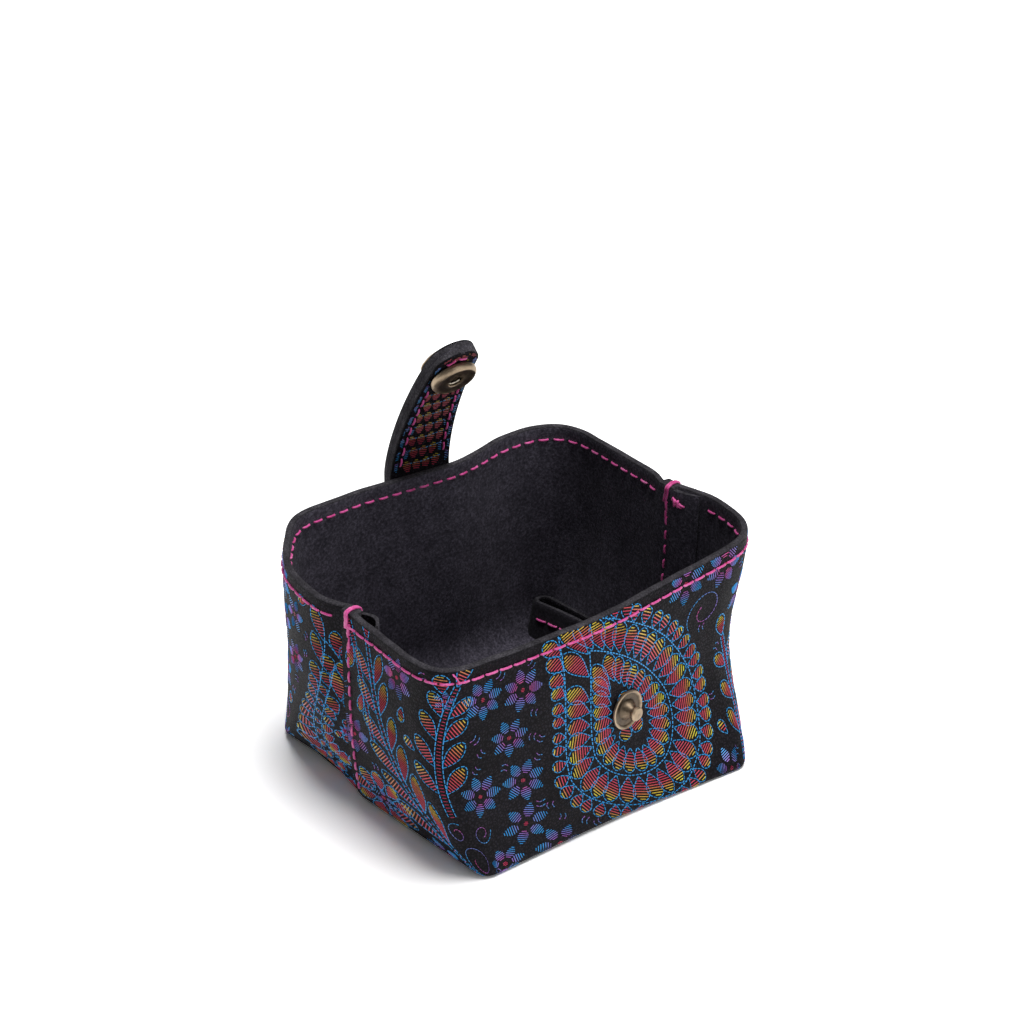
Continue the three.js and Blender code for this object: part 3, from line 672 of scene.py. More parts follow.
def seam_flap(side):
    """The back half's free edge, inside the wall in front of a seam. It gapes more towards the rim."""
    shares = np.linspace(0, 1, 9)[::1 if side == "left" else -1]
    outer, inner = [], []
    for z in np.linspace(STUB_HEIGHT / 2, HEIGHT - 0.4, 34):
        trim = 0.4 * max(0, (z - HEIGHT + 1.2) / 1.2)
        outer.append(flap_row(side, z, trim, shares))
        inner.append(flap_row(side, z, LEATHER - trim, shares))
    return sheet_piece(f"seam_flap_{side}", outer, inner)


def stub_span(side):
    """Where a boxed corner's tube starts and ends along its wall."""
    reach = HALF_DEPTH - 2 * LEATHER - STUB_END_CLEAR - STUB_END_GAP / 2
    return (STUB_SHORT - reach, reach) if side == "right" else (-reach, reach - STUB_SHORT)


def stub_gap(share):
    """How far apart its two layers are. They are sewn together, and gape at both ends."""
    return STUB_GAP + (STUB_END_GAP - STUB_GAP) * abs(2 * share - 1) ** 3


def stub_loop(side, wall):
    """The boxed corner's flattened tube seen from above, as (across, along) from its wall."""
    front, back = stub_span(side)
    end_gap = STUB_END_GAP / 2
    fold = end_gap + wall
    steps, turns = 36, 14
    loop = [(LEATHER - wall, front + (back - front) * k / steps) for k in range(steps + 1)]
    for k in range(1, turns):
        turn = math.pi * k / turns
        loop.append((LEATHER + end_gap - fold * math.cos(turn), back + fold * math.sin(turn)))
    for k in range(steps + 1):
        loop.append((LEATHER + stub_gap(k / steps) + wall, back + (front - back) * (k / steps)))
    for k in range(1, turns):
        turn = math.pi * k / turns
        loop.append((LEATHER + end_gap + fold * math.cos(turn), front - fold * math.sin(turn)))
    return loop


def stub_point(side, across, along, top):
    bow = SIDE_BOW * (1 - (along / HALF_DEPTH) ** 2)
    x = HALF_WIDTH + bow - STUB_INSET - across + STUB_LEAN * top
    return [x if side == "right" else -x, along, LEATHER / 2 + (LEATHER / 2 + STUB_HEIGHT) * top]


def boxed_stub(side):
    """The trimmed seam of the boxed corners, standing up inside along the foot of a side wall."""
    tops = [0, 0.15, 0.3, 0.45, 0.6, 0.75, 0.88, 0.955, 0.985, 1.0]
    trims = [0, 0, 0, 0, 0, 0, 0, 0, 0.15, 0.45]
    grids = []
    for wall, sign in ((LEATHER, -1), (0, 1)):
        grid = []
        for top, trim in zip(tops, trims):
            loop = stub_loop(side, wall + sign * trim)
            row = [stub_point(side, across, along, top) for across, along in loop]
            grid.append(row[::-1] if side == "left" else row)
        grids.append(grid)
    # The stub's outer face takes the darker suede, which is painted shade.
    skin = (SUEDE_WITH_PAINTED_SHADE, LEATHER_FINISH, EDGE_FINISH)
    return sheet_piece(f"boxed_corner_{side}", *grids, ring=True, skin=skin)


# Tab

RIM = {name: corner_at(name, 1) for name in CORNERS}
TAB_ACROSS = np.append(unit(RIM["back_dip"] - RIM["back_swell"]), 0)
TAB_START = np.append(RIM["back_dip"], HEIGHT) - TAB_ACROSS * TAB_FROM_DIP
TAB_BEHIND = np.array([-TAB_ACROSS[1], TAB_ACROSS[0], 0])
UPWARD = np.array([0, 0, 1.0])
TAB_STEP = 0.25


def tab_lean(length):
    return TAB_LEAN * max(0, length / TAB_LENGTH) ** TAB_LEAN_POWER


def tab_spine():
    """The tab's front face along its middle, in small steps from its root end."""
    marks = np.arange(-TAB_ROOT, TAB_LENGTH + TAB_STEP, TAB_STEP)
    points = []
    place = TAB_START + TAB_BEHIND * PLAY
    for length in marks:
        if length <= 0:
            points.append(place + UPWARD * length)
            continue
        lean = tab_lean(length - TAB_STEP / 2)
        points.append(points[-1] + TAB_STEP * (UPWARD * math.cos(lean) - TAB_BEHIND * math.sin(lean)))
    return marks, np.array(points)


TAB_MARKS, TAB_SPINE = tab_spine()


def tab_point(length):
    return at_lengths(TAB_SPINE, TAB_MARKS, [length])[0]


def tab_behind(length):
    lean = tab_lean(length)
    return TAB_BEHIND * math.cos(lean) + UPWARD * math.sin(lean)


def tab_half(length):
    """Half the tab's width, with its round tip."""
    tip = TAB_TIP_WIDTH / 2
    if length <= TAB_LENGTH - tip:
        share = min(1, max(0, length / (TAB_LENGTH - tip)))
        return (TAB_ROOT_WIDTH + (TAB_TIP_WIDTH - TAB_ROOT_WIDTH) * share) / 2
    return math.sqrt(max(0, tip ** 2 - (length - TAB_LENGTH + tip) ** 2))


def tab_lengths():
    tip = TAB_TIP_WIDTH / 2
    straight = np.linspace(-TAB_ROOT, TAB_LENGTH - tip, 56)
    turn = np.radians(np.linspace(0, 85, 15)[1:])
    return np.concatenate([straight, TAB_LENGTH - tip + tip * np.sin(turn)])


def tab_grid(offset, trim):
    """A face of a tab layer, this far behind the tab's front face."""
    shares = [-1, -0.985, -0.94, *np.linspace(-0.85, 0.85, 13), 0.94, 0.985, 1]
    rounded = [1, 0.35, 0, *[0] * 13, 0, 0.35, 1]
    return [[tab_point(length) + TAB_ACROSS * tab_half(length) * share
             + tab_behind(length) * (offset + trim * edge) for share, edge in zip(shares, rounded)]
            for length in tab_lengths()]


def tab_layer(name, is_front, finishes, stands_for):
    """One of the tab's two layers. They are pressed together, so their faces meet half way between."""
    meeting, outer_trim, meeting_trim = LEATHER + PLAY / 2, 0.45, 0.08
    if is_front:
        front, back = tab_grid(0.0, outer_trim), tab_grid(meeting, -meeting_trim)
    else:
        front, back = tab_grid(meeting, meeting_trim), tab_grid(TAB_THICKNESS, -outer_trim)
    piece = sheet_piece(name, front, back, skin=(*finishes, EDGE_FINISH), stands_for=(stands_for,))
    punch(piece, tab_point(SOCKET_AT), tab_behind(SOCKET_AT), BARREL_HOLE)


# Thread

THREAD_RADIUS, THREAD_FACETS = 0.31, 9
# Plies, the length in which each goes round, and how far it stands out as a share of the radius
PLIES, LAY, PLY_RELIEF = 3, 1.5, 0.13
STITCH_RISE, STITCH_DIVE = 0.27, 0.62


def thread_run(points, radius):
    """A length of twisted thread along points: its vertices and faces, closed at both ends."""
    points = np.asarray(points, float)
    along = unit(np.gradient(points, axis=0))
    lengths = lengths_along(points)
    # No thread here runs this way, so it gives the first ring a side
    askew = (0.31, 0.24, 0.92)
    side = unit(np.cross(along[0], askew))
    sides = THREAD_FACETS
    vertices, faces = [], []
    last = len(points) - 1
    for i, (point, way) in enumerate(zip(points, along)):
        side = unit(side - way * np.dot(side, way))
        other = np.cross(way, side)
        taper = 0.45 if i in (0, last) else 1
        for k in range(sides):
            turn = 2 * math.pi * k / sides
            swell = 1 + PLY_RELIEF * math.cos(PLIES * (turn - 2 * math.pi * lengths[i] / (PLIES * LAY)))
            out = side * math.cos(turn) + other * math.sin(turn)
            vertices.append(point + radius * taper * swell * out)
    for i in range(last):
        for k in range(sides):
            a, b = i * sides + k, i * sides + (k + 1) % sides
            faces.append((a, b, b + sides, a + sides))
    faces.append(tuple(reversed(range(sides))))
    faces.append(tuple(range(last * sides, last * sides + sides)))
    return vertices, faces


def stitch_path(start, end, start_normal, end_normal, rings=11):
    """A stitch from one needle hole to the next: it rises out of the leather and goes back in."""
    path = []
    for k in range(rings):
        t = k / (rings - 1)
        lift = STITCH_RISE - STITCH_DIVE * abs(2 * t - 1) ** 5
        normal = unit(start_normal * (1 - t) + end_normal * t)
        path.append(start * (1 - t) + end * t + normal * lift)
    return path


def thread_piece(name, paths, radius=THREAD_RADIUS):
    vertices, faces = [], []
    for path in paths:
        new_vertices, new_faces = thread_run(path, radius)
        faces += [tuple(v + len(vertices) for v in face) for face in new_faces]
        vertices += new_vertices
    return make_piece(name, vertices, faces, (THREAD_FINISH,), crisp=75)


def evenly(points, normals, pitch, start=0.0):
    """Needle holes at an even pitch along a line, with the way the leather faces at each."""
    lengths = lengths_along(points)
    marks = np.arange(start, lengths[-1], pitch)
    return at_lengths(points, lengths, marks), unit(at_lengths(normals, lengths, marks))


def stitches(holes, facing, share, skip=()):
    """Stitches between neighbouring holes. Share is how much of the pitch each one covers."""
    paths = []
    for i in range(len(holes) - 1):
        if i in skip:
            continue
        start, end = holes[i], holes[i + 1]
        middle = (start + end) / 2
        paths.append(stitch_path(middle + (start - middle) * share, middle + (end - middle) * share,
                                 facing[i], facing[i + 1]))
    return paths


RIM_PITCH, SEAM_PITCH, TACK_PITCH, TAB_PITCH, CORNER_PITCH = 4.2, 4.4, 3.9, 3.9, 4.1
RIM_LINE = HEIGHT - 3.9
TAB_STITCH_INSET = 2.4


def along_wall(first, last, rise, inside=False):
    """A level line along the wall, with the way the leather faces."""
    count = 500
    return on_wall(np.linspace(first, last, count), np.full(count, rise), inside)


def down_wall(run, top, foot, inside, count):
    """A line straight down the wall, with the way the leather faces."""
    return on_wall(np.full(count, run), np.linspace(top, foot, count), inside)


def rim_stitching():
    """One row round the mouth. The needle side shows outside, the bobbin side inside."""
    paths = []
    for first, last in ((1.2, run_at("right_edge") - 0.6), (run_at("right_under") + 0.4, RUN_ROUND - 0.2)):
        holes, facing = evenly(*along_wall(first, last, RIM_LINE), RIM_PITCH, 1.2)
        covered = [under_tab(hole) for hole in holes]
        paths += stitches(holes, facing, 0.93, [i for i in range(len(holes)) if any(covered[i:i + 2])])
    inner_first, inner_last = run_at("left_free") + FLAP_WIDTH, run_at("right_free") - FLAP_WIDTH
    for first, last in ((inner_first, inner_last), (run_at("right_under") + 1, RUN_ROUND - 1.5)):
        holes, facing = evenly(*along_wall(first, last, RIM_LINE, inside=True), RIM_PITCH, 0.8)
        paths += stitches(holes, facing, 0.68)
    return thread_piece("rim_stitching", paths)


def under_tab(point):
    """Whether a point on the back wall lies under the tab's root."""
    away = np.asarray(point) - TAB_START
    return abs(np.dot(away, TAB_ACROSS)) < TAB_ROOT_WIDTH / 2 + 0.6 and abs(np.dot(away, TAB_BEHIND)) < 6


def seam_stitching(side):
    """The side seam from the rim down to the boxed corner, back-tacked over its first stitches."""
    seam = run_at(f"{side}_seam")
    paths = []
    for inside in (False, True):
        holes, facing = evenly(*down_wall(seam, RIM_LINE + 0.2, 4.0, inside, 200), SEAM_PITCH)
        paths += stitches(holes, facing, 0.62 if inside else 0.76)
        # The back-tack lies a thread's width to the side
        beside = seam + (0.1 if inside else 0.55)
        holes, facing = evenly(*down_wall(beside, RIM_LINE + 1, RIM_LINE - 8, inside, 60), TACK_PITCH)
        paths += stitches(holes, facing, 0.9)
    return thread_piece(f"side_seam_stitching_{side}", paths)


def seam_knot(side):
    """Where the rim's row starts and ends, three threads lie side by side on the flap, tied across."""
    face = np.array(flap_row(side, RIM_LINE, LEATHER + 1, [0.3])[0])
    face = unit(face - flap_row(side, RIM_LINE, LEATHER, [0.3])[0])
    paths = []
    for across, first, last in ((-0.55, 0.14, 0.46), (0.0, 0.06, 0.56), (0.55, 0.1, 0.42)):
        start = np.array(flap_row(side, RIM_LINE + 1.0 + across, LEATHER, [first])[0])
        end = np.array(flap_row(side, RIM_LINE - 0.4 + across * 0.7, LEATHER, [last])[0])
        paths.append(stitch_path(start, end, face, face * (1.5 - abs(across)), rings=16))
    for share in (0.22, 0.34):
        start, end = (np.array(flap_row(side, RIM_LINE + rise, LEATHER, [share])[0]) for rise in (1.3, -0.8))
        paths.append([point + face * 0.3 for point in stitch_path(start, end, face, face, rings=12)])
    return thread_piece(f"seam_knot_{side}", paths, THREAD_RADIUS * 1.15)


def thread_tail():
    """The cut end of a thread, standing up beside the front rim's stitches."""
    run = run_at("front_left") + 4.5
    point, facing = on_wall([run, run - 0.6, run - 1.5], [RIM_LINE, RIM_LINE + 1.7, RIM_LINE + 3.0])
    guide = [point[0] - facing[0] * 0.3, point[0] + facing[0] * 0.3, point[1] + facing[1] * 0.5,
             point[2] + facing[2] * 0.35]
    return thread_piece("thread_tail", [smooth_path(guide, 16)], THREAD_RADIUS * 0.7)


def rim_loop(side):
    """The thick loop over the rim at the top of a side seam: two strands of thread side by side."""
    seam = run_at(f"{side}_seam")
    rises = [RIM_LINE - 0.6, RIM_LINE + 1.6, HEIGHT - 0.5]
    outside, face_out = on_wall([seam - 0.2, seam - 0.1, seam], rises)
    inside, face_in = on_wall([seam, seam + 0.3, seam + 0.6], rises[::-1], inside=True)
    top = (outside[-1] + inside[0]) / 2 + UPWARD * 0.9
    raised, strand_apart = 0.34, 0.62
    guide = [
        outside[0] - face_out[0] * 0.3, outside[0] + face_out[0] * raised, outside[1] + face_out[1] * raised,
        outside[2] + face_out[2] * raised + UPWARD * 0.2,
        outside[2] * 0.72 + inside[0] * 0.28 + UPWARD * 0.86, top,
        outside[2] * 0.28 + inside[0] * 0.72 + UPWARD * 0.86,
        inside[0] + face_in[0] * raised + UPWARD * 0.2, inside[1] + face_in[1] * raised,
        inside[2] + face_in[2] * raised, inside[2] - face_in[2] * 0.3,
    ]
    beside = np.append(unit(np.cross(face_out[0], UPWARD))[:2], 0) * strand_apart
    return [smooth_path(guide, 44), smooth_path([point + beside for point in guide], 44)]


def smooth_path(guide, count):
    """A smooth curve through guide points."""
    guide = np.asarray(guide, float)
    ends = np.concatenate([[2 * guide[0] - guide[1]], guide, [2 * guide[-1] - guide[-2]]])
    points = []
    for t in np.linspace(0, len(guide) - 1 - 1e-6, count):
        i = int(t)
        f = t - i
        a, b, c, d = ends[i:i + 4]
        points.append(0.5 * (2 * b + (c - a) * f + (2 * a - 5 * b + 4 * c - d) * f ** 2
                             + (3 * b - a - 3 * c + d) * f ** 3))
    return points


def tab_edge_line(back):
    """A line round the tab a little inside its edge, on its front or its back face."""
    tip, inset = TAB_TIP_WIDTH / 2, TAB_STITCH_INSET
    offset = TAB_THICKNESS if back else 0
    places = []
    for length in np.linspace(2.0, TAB_LENGTH - tip, 60):
        places.append((length, -(tab_half(length) - inset)))
    for turn in np.linspace(0, math.pi, 31)[1:-1]:
        places.append((TAB_LENGTH - tip + (tip - inset) * math.sin(turn), -(tip - inset) * math.cos(turn)))
    for length in np.linspace(TAB_LENGTH - tip, 2.0, 60):
        places.append((length, tab_half(length) - inset))
    points = [tab_point(length) + TAB_ACROSS * across + tab_behind(length) * offset
              for length, across in places]
    normals = [tab_behind(length) * (1 if back else -1) for length, _ in places]
    return np.array(points), np.array(normals)


def tab_stitching():
    """A row round the tab's edge, through both layers. Under the socket and the cap it doesn't show."""
    paths = []
    socket_point, axis = tab_point(SOCKET_AT), tab_behind(SOCKET_AT)
    for back in (False, True):
        holes, facing = evenly(*tab_edge_line(back), TAB_PITCH, 0.4)
        away = (holes[:-1] + holes[1:]) / 2 - socket_point
        flat = away - np.outer(away @ axis, axis)
        covered = np.flatnonzero(np.linalg.norm(flat, axis=1) < SOCKET_RADIUS + 0.2)
        paths += stitches(holes, facing, 0.74, covered)
    return thread_piece("tab_stitching", paths, THREAD_RADIUS * 0.82)


def tab_root_stitching():
    """The rim's row goes on over the tab's root, with a second row below it."""
    paths = []
    count, half = 40, TAB_ROOT_WIDTH / 2 - 1.2
    for down in (3.9, 9.4):
        behind = tab_behind(-down) * TAB_THICKNESS
        points = np.array([tab_point(-down) + TAB_ACROSS * half * share + behind
                           for share in np.linspace(-1, 1, count)])
        normals = np.tile(tab_behind(-down), (count, 1))
        paths += stitches(*evenly(points, normals, TAB_PITCH, 0.1), 0.9)
    return thread_piece("tab_root_stitching", paths)


def stub_stitching(side):
    """The boxing seam's stitches, along the inner face of the trimmed corner."""
    front, back = stub_span(side)
    points = np.array([stub_point(side, 2 * LEATHER + stub_gap(share), back + (front - back) * share, 0.62)
                       for share in np.linspace(0, 1, 120)])
    normals = np.tile((-1.0 if side == "right" else 1.0, 0.0, 0.0), (len(points), 1))
    paths = stitches(*evenly(points, normals, CORNER_PITCH, 0.6), 0.85)
    return thread_piece(f"boxed_corner_stitching_{side}", paths)


# Printed pattern: botehs with rows of petals, leaf sprays, daisies and curls, in strokes of foil

WARM, COOL = 0, 1
HATCH_PITCH, HATCH_BREADTH = 0.84, 0.57
DASH, DASH_GAP, DASH_BREADTH = 1.05, 0.4, 0.52
# A stroke's slant, its least half length, and the change of tone along it
SLANT, LEAST_HALF, TONE_SPREAD = 0.24, 0.22, 0.04
# A stroke is tested every so often along it, and its pieces are no longer than this
TEST_SPACING, LONGEST_PIECE = 0.35, 2.2
# Where a boteh's round head is widest, as a share of its length
BOTEH_HEAD = 0.34
FOIL_RISE = 0.12


def cut_off(points, keep):
    """The part of a straight stroke that may be kept, in pieces short enough to follow a bent surface."""
    start, end = np.asarray(points[0], float), np.asarray(points[-1], float)
    count = max(2, math.ceil(np.linalg.norm(end - start) / TEST_SPACING) + 1)
    places = [start + (end - start) * k / (count - 1) for k in range(count)]
    runs, current = [], []
    for place in places:
        if keep(place):
            current.append(place)
        else:
            runs.append(current)
            current = []
    run = max([*runs, current], key=len)
    if len(run) < 2:
        return None
    parts = max(1, math.ceil(np.linalg.norm(run[-1] - run[0]) / LONGEST_PIECE))
    return np.array([run[0] + (run[-1] - run[0]) * k / parts for k in range(parts + 1)])


class Layout:
    """Strokes of foil laid out flat, in millimetres along a panel and up it."""

    def __init__(self, low, high, floor=-0.9, ceiling=HEIGHT - 0.5):
        self.low, self.high, self.floor, self.ceiling = low, high, floor, ceiling
        self.strokes = []
        self.taken = set()
        self.chance = random.Random(11)

    def holds(self, point, margin):
        return (self.low + margin < point[0] < self.high - margin
                and self.floor + margin < point[1] < self.ceiling - margin)

    def stroke(self, points, breadth, ink, tones):
        """A straight stroke between two points, cut off where it leaves the panel."""
        points = cut_off(points, lambda point: self.holds(point, 0.1))
        if points is None:
            return
        self.strokes.append((points, breadth, ink, tones))
        for point in points:
            self.taken.add((round(point[0]), round(point[1])))

    def free(self, point, reach):
        """Whether nothing is drawn within reach of a point."""
        span = int(reach) + 1
        x, y = round(point[0]), round(point[1])
        for i in range(-span, span + 1):
            for j in range(-span, span + 1):
                if i * i + j * j <= reach * reach and (x + i, y + j) in self.taken:
                    return False
        return True

    def dashes(self, path, tones, breadth=DASH_BREADTH, dash=DASH, gap=DASH_GAP):
        """A broken line along a path."""
        path = np.asarray(path, float)
        lengths = lengths_along(path)
        count = max(1, round(lengths[-1] / (dash + gap)))
        pitch = lengths[-1] / count
        for k in range(count):
            marks = np.array([k * pitch + gap / 2, (k + 1) * pitch - gap / 2])
            tone = tones[0] + (tones[1] - tones[0]) * (k + 0.5) / count
            self.stroke(at_lengths(path, lengths, marks), breadth, COOL, (tone, tone))


def turned(heading):
    """Unit vectors along a heading and across it."""
    along = np.array([math.cos(heading), math.sin(heading)])
    return along, np.array([-along[1], along[0]])


def petal_half(share):
    """How wide a petal is this far along it, as a share of its breadth."""
    return max(0.0, math.sin(math.pi * share ** 1.45)) ** 0.75


def petal(draw, base, heading, length, breadth, ink=WARM, tones=(0.0, 1.0), lined=True,
          pitch=HATCH_PITCH):
    """A drop of satin hatching, narrow at its base, with a dashed line round it."""
    along, across = turned(heading)
    base = np.asarray(base, float)
    if not all(draw.free(base + along * length * share, 0.9) for share in (0.3, 0.6, 0.9)):
        return
    count = max(2, round(length / pitch))
    for k in range(count):
        share = (k + 0.5) / count
        half = breadth / 2 * petal_half(share)
        if half < LEAST_HALF:
            continue
        centre = base + along * length * share
        slant = along * SLANT * half
        tone = tones[0] + (tones[1] - tones[0]) * share ** 1.3
        draw.stroke([centre - across * half - slant, centre + across * half + slant], HATCH_BREADTH, ink,
                    (tone - TONE_SPREAD, tone + TONE_SPREAD))
    if lined:
        shares = np.linspace(0, 1, 15)
        ring = []
        for way, ordered in ((1, shares), (-1, shares[::-1])):
            ring += [base + along * (length * s * 1.1 - 0.3)
                     + across * way * (breadth / 2 * petal_half(s) + 0.5 * s ** 0.4) for s in ordered]
        draw.dashes(ring, (0.0, 0.12))


def daisy(draw, centre, radius, petals, turn, tones=(0.05, 0.75)):
    """A small flower with pointed petals in blue and violet and a crimson eye."""
    for k in range(petals):
        heading = turn + 2 * math.pi * k / petals
        along, across = turned(heading)
        start, length = radius * 0.34, radius * 0.72
        count = max(4, round(length / 0.6))
        shift = 0.3 * math.sin(2.2 * k + turn)
        for j in range(count):
            share = (j + 0.5) / count
            half = radius * 0.23 * math.sin(math.pi * share ** 0.8) ** 0.85 + 0.08
            place = np.asarray(centre) + along * (start + length * share)
            tone = tones[1] + (tones[0] - tones[1]) * share + shift * 0.5
            draw.stroke([place - across * half, place + across * half], 0.42, COOL, (tone, tone))
    for k in range(3):
        along, across = turned(turn)
        place = np.asarray(centre) + along * (k - 1) * 0.42
        half = 0.55 if k == 1 else 0.4
        draw.stroke([place - across * half, place + across * half], 0.4, WARM, (0.05, 0.05))


def curl(draw, centre, radius, turn, way):
    """A tendril that winds into a curl, one way round or the other."""
    path = []
    turns = 1.25
    for t in np.linspace(0, 1, 40):
        angle = turn + way * 2 * math.pi * turns * t
        reach = radius * (1.15 - 0.8 * t)
        path.append(np.asarray(centre) + reach * np.array([math.cos(angle), math.sin(angle)]))
    draw.dashes(path, (0.2, 0.95), dash=0.75, gap=0.3, breadth=0.36)


def comma_pair(draw, start, heading, length):
    """Two short bowed dashes side by side, as filling."""
    for shift in (0, 1.5):
        along, across = turned(heading)
        path = [np.asarray(start) + along * length * t
                + across * (shift + length * 0.22 * math.sin(math.pi * t)) for t in np.linspace(0, 1, 10)]
        draw.dashes(path, (0.2, 0.9), dash=0.6, gap=0.26, breadth=0.4)


def leaf_spray(draw, start, heading, length, bend, leaves, leaf):
    """A bowed stem with pairs of narrow leaves and one at its end."""
    spine = [np.asarray(start, float)]
    steps = 40
    for k in range(steps):
        along, _ = turned(heading + bend * k / steps)
        spine.append(spine[-1] + along * length / steps)
    spine = np.array(spine)
    rungs = round(length / 0.8)
    for k in range(rungs):
        t = (k + 0.5) / rungs
        place = spine[int(t * steps)]
        _, across = turned(heading + bend * t)
        half = 0.62 * (1 - 0.45 * t)
        draw.stroke([place - across * half, place + across * half], 0.46, WARM, (0.1 * t, 0.1 * t))
    for side in (-1, 1):
        edge = [place + turned(heading + bend * i / steps)[1] * side * 1.25 * (1 - 0.4 * i / steps)
                for i, place in enumerate(spine)]
        draw.dashes(edge, (0.0, 0.2))
    for k in range(leaves):
        t = 0.16 + 0.78 * k / leaves
        place = spine[int(t * steps)]
        size = 1 - 0.35 * t
        for side in (-1, 1):
            way = heading + bend * t + side * (0.72 - 0.2 * t)
            base = place + turned(way)[0] * 1.9
            petal(draw, base, way, leaf[0] * size, leaf[1] * size, tones=(0.1, 0.85))
    petal(draw, spine[-1], heading + bend, leaf[0] * 0.8, leaf[1] * 0.8)


def boteh_width(share):
    """How wide a boteh is this far from its round head to its tip, as a share of its widest."""
    if share < BOTEH_HEAD:
        return math.sqrt(max(0, 1 - ((BOTEH_HEAD - share) / BOTEH_HEAD) ** 2))
    return max(0.0, 1 - ((share - BOTEH_HEAD) / (1 - BOTEH_HEAD)) ** 1.35)


def boteh_ring(start, heading, length, bend, radius, scale):
    """The outline of a boteh drawn at a share of its size, as evenly spaced points, and its length."""
    spine, ways = [np.asarray(start, float)], [heading]
    steps = 80
    for k in range(steps):
        way = heading + bend * ((k + 1) / steps) ** 1.8
        spine.append(spine[-1] + turned(way)[0] * length / steps)
        ways.append(way)
    points = []
    low, high = BOTEH_HEAD * (1 - scale), 1 - (1 - scale) * 0.55
    for side in (1, -1):
        shares = np.linspace(low, high, steps) if side > 0 else np.linspace(high, low, steps)[1:-1]
        for share in shares:
            i = min(steps, int(round(share * steps)))
            f = share * steps
            lower = min(steps - 1, int(f))
            place = spine[lower] + (spine[lower + 1] - spine[lower]) * (f - lower)
            inner = (share - low) / (high - low)
            points.append(place + side * turned(ways[i])[1] * radius * scale * boteh_width(inner))
    points = np.array(points)
    closed = np.concatenate([points, points[:1]])
    lengths = lengths_along(closed)
    marks = np.linspace(0, lengths[-1], 220, endpoint=False)
    return at_lengths(closed, lengths, marks), lengths[-1]


def boteh(draw, start, heading, length, bend, radius):
    """A tall curved drop: rows of petals, dotted lines between them, and a flower in its heart."""
    bead = 4.8 / radius
    rows = [(1 - bead, 1.0, 4.7), (0.52, 0.97 - bead, 5.3), (0.22, 0.47, 4.6)]
    for low, high, pitch in rows:
        inner, _ = boteh_ring(start, heading, length, bend, radius, low)
        outer, size = boteh_ring(start, heading, length, bend, radius, high)
        count = max(5, round(size / pitch))
        for k in range(count):
            i = int(k * len(inner) / count)
            span = outer[i] - inner[i]
            reach = np.hypot(*span)
            petal(draw, inner[i], math.atan2(span[1], span[0]), reach * 0.93,
                  min(size / count, reach * 0.85) - 0.9, tones=(0.0, 0.9 + 0.15 * math.sin(k * 1.7)))
    for scale in (0.495, 0.985 - bead):
        ring, _ = boteh_ring(start, heading, length, bend, radius, scale)
        draw.dashes(np.concatenate([ring, ring[:1]]), (0.0, 0.1), dash=0.8, gap=0.45, breadth=0.62)
    heart, _ = boteh_ring(start, heading, length, bend, radius, 0.12)
    rosette(draw, heart.mean(0), radius * 0.25, 7, heading)


def rosette(draw, centre, radius, petals, turn):
    """A round folk flower of warm petals about a small daisy."""
    centre = np.asarray(centre, float)
    eye = radius * 0.34
    for k in range(petals):
        heading = turn + 2 * math.pi * k / petals
        along, _ = turned(heading)
        breadth = min(2 * math.pi * (eye + (radius - eye) * 0.6) / petals - 1.1, radius * 0.6)
        petal(draw, centre + along * eye, heading, radius - eye, breadth, tones=(0.0, 0.75 + 0.3 * (k % 2)))
    daisy(draw, centre, eye * 1.05, 5, turn)


def scatter(draw):
    """Daisies, curls and pairs of commas where the larger motifs leave room."""
    for reach in (6.4, 5.2, 3.9, 2.9, 2.1):
        a = draw.low + 2
        while a < draw.high - 2:
            z = 2.0
            while z < HEIGHT - 3:
                place = np.array([a + draw.chance.uniform(-1.4, 1.4), z + draw.chance.uniform(-1.4, 1.4)])
                if draw.holds(place, 0.5) and draw.free(place, reach + 0.3):
                    pick = draw.chance.random()
                    turn = draw.chance.uniform(0, 2 * math.pi)
                    if reach > 5 and pick < 0.8:
                        tones = (0.0, 0.8) if pick < 0.5 else (0.4, 0.95)
                        daisy(draw, place, reach - 0.5, 6 if pick < 0.4 else 7, turn, tones)
                    elif reach < 2.5:
                        comma_pair(draw, place, turn, reach)
                    elif reach > 3.5:
                        curl(draw, place, reach - 0.9, turn, 1 if pick < 0.5 else -1)
                    elif pick < 0.45:
                        comma_pair(draw, place, turn, reach * 0.9)
                    elif pick < 0.9:
                        along, _ = turned(turn)
                        petal(draw, place - along * reach * 0.8, turn, reach * 1.5, reach * 0.75)
                z += 3.0
            a += 3.0


def front_layout():
    """The front half, from the left seam round the front to the right seam."""
    draw = Layout(run_at("left_edge") + 0.25, run_at("right_edge") - 0.25)
    left, front, right = run_at("front_left"), run_at("front_bow"), run_at("front_right")
    boteh(draw, (front + 20, -4), math.radians(98), 88, math.radians(52), 30)
    boteh(draw, (right + 30, 62), math.radians(-104), 56, math.radians(56), 16)
    leaf_spray(draw, (left - 5, -1), math.radians(124), 66, math.radians(-26), 6, (13.5, 4.6))
    leaf_spray(draw, (left - 1, 20), math.radians(97), 40, math.radians(-30), 4, (9.5, 3.8))
    leaf_spray(draw, (3, 62), math.radians(-62), 34, math.radians(-24), 4, (7.5, 3.0))
    leaf_spray(draw, (right - 2, 2), math.radians(84), 36, math.radians(30), 3, (9.0, 3.8))
    rosette(draw, (11, 9), 9.0, 9, 0.2)
    rosette(draw, (left + 1, 55), 7.5, 8, 0.1)
    for offset, z, size in ((11, 53, 5.6), (19, 39, 5.4), (9, 25, 5.9), (20, 12, 5.9)):
        daisy(draw, (left + offset, z), size, 6 + int(offset) % 2, offset)
    scatter(draw)
    return draw


